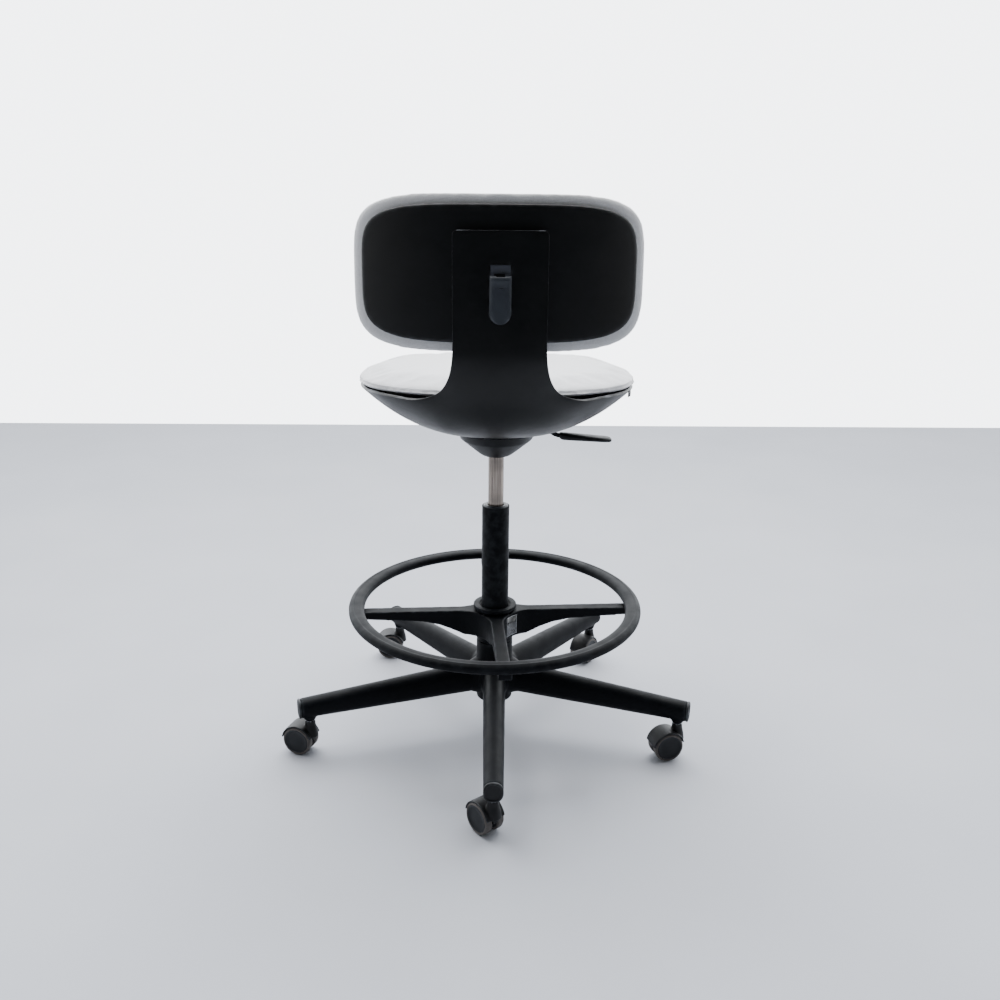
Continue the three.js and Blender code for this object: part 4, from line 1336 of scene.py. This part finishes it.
def height_lever():
    pivot = middle_of("lever_pin")
    bar = rod([
        (6, 0, pivot.z - 1),
        (pivot.x, 0, pivot.z),
        (-58, 0, pivot.z + 5),
        (-84, 0, shell_bottom + 26),
        (-99, 0, shell_bottom + 2),
        (-116, 0, shell_bottom - 4.5),
        (-148, 0, shell_bottom - 7),
    ], 4)
    eye = loft([[(x, y, z) for x, z in oval(6.5, 6.5, 2, 32)] for y in (-7, 7)])
    eye = shifted(eye, pivot.x, 0, pivot.z)
    arm = piece("lever_arm", combined(bar, eye), "powder")
    settle(arm, "height_lever", "black_powder_coat", "gas_lever")

    root = -119
    tip = size_of("lever_grip")[0].x
    height = shell_bottom - 5
    sections = [
        (root + 7, 5.2, 5.0, 1.8), (root + 3, 7.4, 6.2, 0.8), (root, 9, 6.6, 0), (root - 12, 11, 6.2, -0.7),
        (root - 25, 13, 5.7, -1.5), (root - 45, 14.6, 4.9, -3), (tip + 18, 15, 4.2, -4.6),
        (tip + 9, 14.2, 4.0, -5.2), (tip + 4, 12.2, 3.7, -5.6), (tip + 1.2, 9.4, 2.9, -5.8),
        (tip, 6, 1.6, -5.9),
    ]
    rings = []
    for x, half_width, half_height, drop in sections:
        rings.append([(x, a, height + drop + b) for a, b in oval(half_width, half_height, 3, 40)])
    grip = piece("lever_paddle", loft(rings), "plastic")
    subdivide(grip)
    settle(grip, "height_lever", "black_plastic", "lever_grip")


# ---------------------------------------------------------------- backrest

def back_outline(angle, inset):
    reach = super_radius(angle, back_half_width - inset, back_half_height - inset, back_roundness)
    return reach * math.cos(angle), reach * math.sin(angle)


def bent(across, up, depth):
    """A point of the backrest, given on its outline and behind the tongue's back face."""
    radius = back_bend + depth
    return on_tongue((across, math.sqrt(radius ** 2 - across ** 2) - back_bend, back_centre_height + up))


def back_ring(inset, depth, shrink=0.0, taller=1.0):
    """Ring on the backrest's outline, or shrunk from it towards the middle line."""
    ring = []
    count = 160
    middle_reach = 130
    for i in range(count):
        angle = TAU * (i / count)
        across, up = back_outline(angle, inset)
        target = min(max(across, -middle_reach), middle_reach)
        ring.append(bent(across + (target - across) * shrink, up * taller * (1 - shrink), depth))
    return ring


def back_panel():
    form = loft([back_ring(panel_inset + further_in, depth, shrink) for further_in, depth, shrink in (
        (20, panel_back, 0.6), (20, panel_back, 0.25), (20, panel_back, 0), (6, panel_back, 0),
        (2.6, panel_back - 0.2, 0), (0.9, panel_back - 0.9, 0), (0, panel_back - 2.2, 0),
        (0, panel_front + 1, 0), (1, panel_front, 0), (20, panel_front, 0), (20, panel_front, 0.6),
    )], "zip")
    settle(piece("backrest_panel", form, "plastic"), "backrest", "black_plastic", "back_panel")


def back_pad():
    rear = panel_front - 1
    front = rear - back_pad_thickness

    taller = 1.04  # makes up for what the stuffing draws in
    form = loft([back_ring(inset, depth, shrink, taller) for inset, depth, shrink in (
        (50, front + 4, 0.97), (50, front + 4, 0.5), (50, front + 4.5, 0), (26, front + 6.5, 0),
        (9, front + 12, 0), (1.2, rear - 19, 0), (-0.8, rear - 10, 0), (0.2, rear - 3.5, 0),
        (4, rear - 0.3, 0), (9, rear, 0), (30, rear, 0), (30, rear, 0.5), (30, rear, 0.97),
    )], "zip")
    rear_wall = back_bend + rear - 3

    def held(point):
        flat = Matrix.Rotation(-back_lean, 4, "X") @ (point - Vector((0, tongue_top.y, tongue_top.z)))
        return math.hypot(flat.x, flat.y + back_bend) > rear_wall

    pad = cushion("backrest_cushion", form, held, 4.5)

    def front_seam(inset):
        rays = []
        for i in range(480):
            across, up = back_outline(TAU * i / 480, inset)
            rays.append((bent(across, up, front - 60), bent(across, up, front + 40)))
        return surface_line(pad, rays)

    press_seam(pad, front_seam(16), 1.4, 2.4, 0.8, 8)
    rows = [front_seam(19)]
    settle(pad, "backrest", "light_grey_fabric", "back_pad")
    stitches("backrest_seam_stitches", rows, "backrest")


pin_height = 877
pin_depth = 7


def height_rack():
    """Toothed strip in the slot; its slit lets the stem of the carrier slide."""
    gap = 0.3
    bottom = slot_bottom + gap
    top = slot_top - gap
    half_width = slot_half_width - gap
    slit_top = top - 13
    slit_half = 7
    depth = shell_wall - 1.2
    middle = -shell_wall / 2
    tooth_pitch = 6
    tooth_room = 2.5
    toothed_half = slit_half + tooth_room

    def bar(left, right, low, high):
        return block(right - left, depth, high - low, (left + right) / 2, middle, (low + high) / 2)

    bars = [
        bar(-half_width, half_width, slit_top, top),
        bar(-half_width, half_width, bottom, bottom + 4),
        bar(-half_width, -slit_half, bottom, slit_top),
        bar(toothed_half, half_width, bottom, slit_top),
    ]
    teeth = int((slit_top - bottom - 6) / tooth_pitch)
    for k in range(teeth):
        bars.append(block(2.8, depth, 3.2, slit_half + 1.3, middle, bottom + 8 + k * tooth_pitch))
    rack = piece("height_rack_strip", leaned(combined(*bars)), "insert")
    round_edges(rack, 0.35)
    settle(rack, "seat", "grey_plastic", "height_rack")


def clip():
    """Rounded lever over the slot: it curls in round its pin at the top and ends in a
    half circle below."""
    half_width = 16.5
    bottom = 811
    curl = pin_depth - 0.8
    heights = [bottom + half_width * (1 - math.cos(math.pi / 2 * k / 12)) + 0.05 for k in range(13)]
    heights += [bottom + half_width + (pin_height - bottom - half_width) * k / 16 for k in range(1, 17)]
    heights += [pin_height + curl * math.sin(math.pi / 2 * k / 10) * 0.999 for k in range(1, 11)]
    rings = []
    for z in heights:
        below = bottom + half_width - z
        half = math.sqrt(max(half_width ** 2 - max(below, 0) ** 2, 0.3))
        if z > pin_height:
            reach = math.sqrt(max(curl ** 2 - (z - pin_height) ** 2, 0.02))
            inner, outer = pin_depth - reach, pin_depth + reach
        else:
            inner = 0.8
            rise = min(1, (z - bottom) / 40)
            outer = 7.2 + 3.3 * rise + 2.7 * max(0, (z - bottom - 40) / (pin_height - bottom - 40)) ** 3
        ring = [
            (x, (inner + outer) / 2 + y, z)
            for x, y in oval(half, (outer - inner) / 2, 5, 48)
        ]
        rings.append(ring)
    lever = piece("release_clip", leaned(loft(rings)), "grey")
    hollow_floor = pin_depth + 4
    cut_out(lever, leaned(block(13, 2 * hollow_floor, 24, 0, 0, pin_height)), "grey")
    lever.data.shade_smooth()
    lever.data.set_sharp_from_angle(angle=math.radians(55))
    settle(lever, "clip", "grey_plastic", "clip_lever")


def carrier():
    """Bracket between the panel and the tongue, with the eye for the clip's pin."""
    plate_depth = 6
    plate_y = panel_back + 0.3 + plate_depth / 2
    plate = block(52, plate_depth, 96, 0, plate_y, pin_height - 3)
    stem_width = 11
    stem_length = pin_depth - plate_y
    stem = block(stem_width, stem_length, 6, 0, plate_y + stem_length / 2, pin_height)
    eye = [[(x, pin_depth + a, pin_height + b) for a, b in oval(3.5, 3.5, 2, 24)] for x in (-5.5, 5.5)]
    bracket = piece("backrest_bracket", leaned(combined(plate, stem, loft(eye))), "plastic")
    round_edges(bracket, 0.8)
    settle(bracket, "backrest", "black_plastic", "back_carrier")


# ---------------------------------------------------------------- inner parts kept from the CAD

def dress_inner_parts():
    """Zinc-plated steel for the CAD nodes that no piece replaces."""
    names = ["thrust_bearing", "retaining_clip", "piston_rod", "mechanism_plate", "lever_pin",
             "valve_button", "clip_pin"]
    names += [f"mechanism_bolt_{i}" for i in range(1, 5)]
    names += [f"caster_{part}_{i + 1}" for part in ("stem", "axle") for i in range(leg_count)]
    for name in names:
        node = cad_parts[name]
        node.data.materials.clear()
        node.data.materials.append(looks["zinc"])


# ---------------------------------------------------------------- stage

def area_light(name, size, energy, place, target):
    light = bpy.data.lights.new(name, "AREA")
    light.shape = "RECTANGLE"
    light.size, light.size_y = size
    light.energy = energy
    obj = bpy.data.objects.new(name, light)
    bpy.context.scene.collection.objects.link(obj)
    obj.location = place
    obj.rotation_euler = (Vector(target) - Vector(place)).to_track_quat("-Z", "Y").to_euler()


def studio():
    size = 2.4
    corners = [(-size, -size, 0), (size, -size, 0), (size, size, 0), (-size, size, 0)]
    floor_mesh = mesh_of("floor", corners, [(0, 1, 2, 3)], 1)
    floor_mesh.materials.append(pale_floor())
    floor = bpy.data.objects.new("floor", floor_mesh)
    floor.location.z = -0.0002
    bpy.context.scene.collection.objects.link(floor)
    room_light()
    chest = (0, 0, 0.7)
    area_light("ceiling", (3.0, 2.2), 170, (0.1, -0.7, 2.9), (0, 0.1, 0.6))
    area_light("left_strip", (0.5, 2.2), 13, (2.6, 0.9, 1.5), chest)
    area_light("right_strip", (0.5, 2.2), 10, (-2.8, 0.5, 1.4), chest)


def room_light():
    """Bright wall in front of the chair, fading to a dim room behind it."""
    world = bpy.data.worlds.new("studio")
    world.use_nodes = True
    tree = world.node_tree
    background = tree.nodes["Background"]
    direction = tree.nodes.new("ShaderNodeTexCoord").outputs["Generated"]
    split = tree.nodes.new("ShaderNodeSeparateXYZ")
    tree.links.new(direction, split.inputs[0])
    fade = tree.nodes.new("ShaderNodeMapRange")
    fade.interpolation_type = "SMOOTHSTEP"
    tree.links.new(split.outputs["Y"], fade.inputs[0])
    wall_end, room_start = -0.85, 0.2
    wall_strength, room_strength = 5.5, 0.1
    for socket, value in zip(fade.inputs[1:5], (wall_end, room_start, wall_strength, room_strength)):
        socket.default_value = value
    tree.links.new(fade.outputs[0], background.inputs["Strength"])
    background.inputs["Color"].default_value = (0.93, 0.96, 1.0, 1)
    bpy.context.scene.world = world


def camera():
    data = bpy.data.cameras.new("view")
    data.lens = 37.0
    data.sensor_width = 36
    obj = bpy.data.objects.new("view", data)
    bpy.context.scene.collection.objects.link(obj)
    pitch = math.radians(18.36)
    roll = math.radians(0.61)
    heading = Vector((-0.02269, -0.99974, 0)).normalized()
    direction = heading * math.cos(pitch) + Vector((0, 0, -math.sin(pitch)))
    obj.location = column + Vector((32.7, 1776.2, 1049.4)) * MM
    obj.rotation_mode = "QUATERNION"
    turn = direction.to_track_quat("-Z", "Y")
    obj.rotation_quaternion = turn @ Matrix.Rotation(roll, 4, "Z").to_quaternion()
    bpy.context.scene.camera = obj


base_casting()
leg_end_caps()
casters()
lift_column()
footring()
seat_shell()
seat_pan()
seat_pad()
seat_tag()
lift_cover()
height_lever()
back_panel()
back_pad()
carrier()
height_rack()
clip()
dress_inner_parts()
studio()
camera()
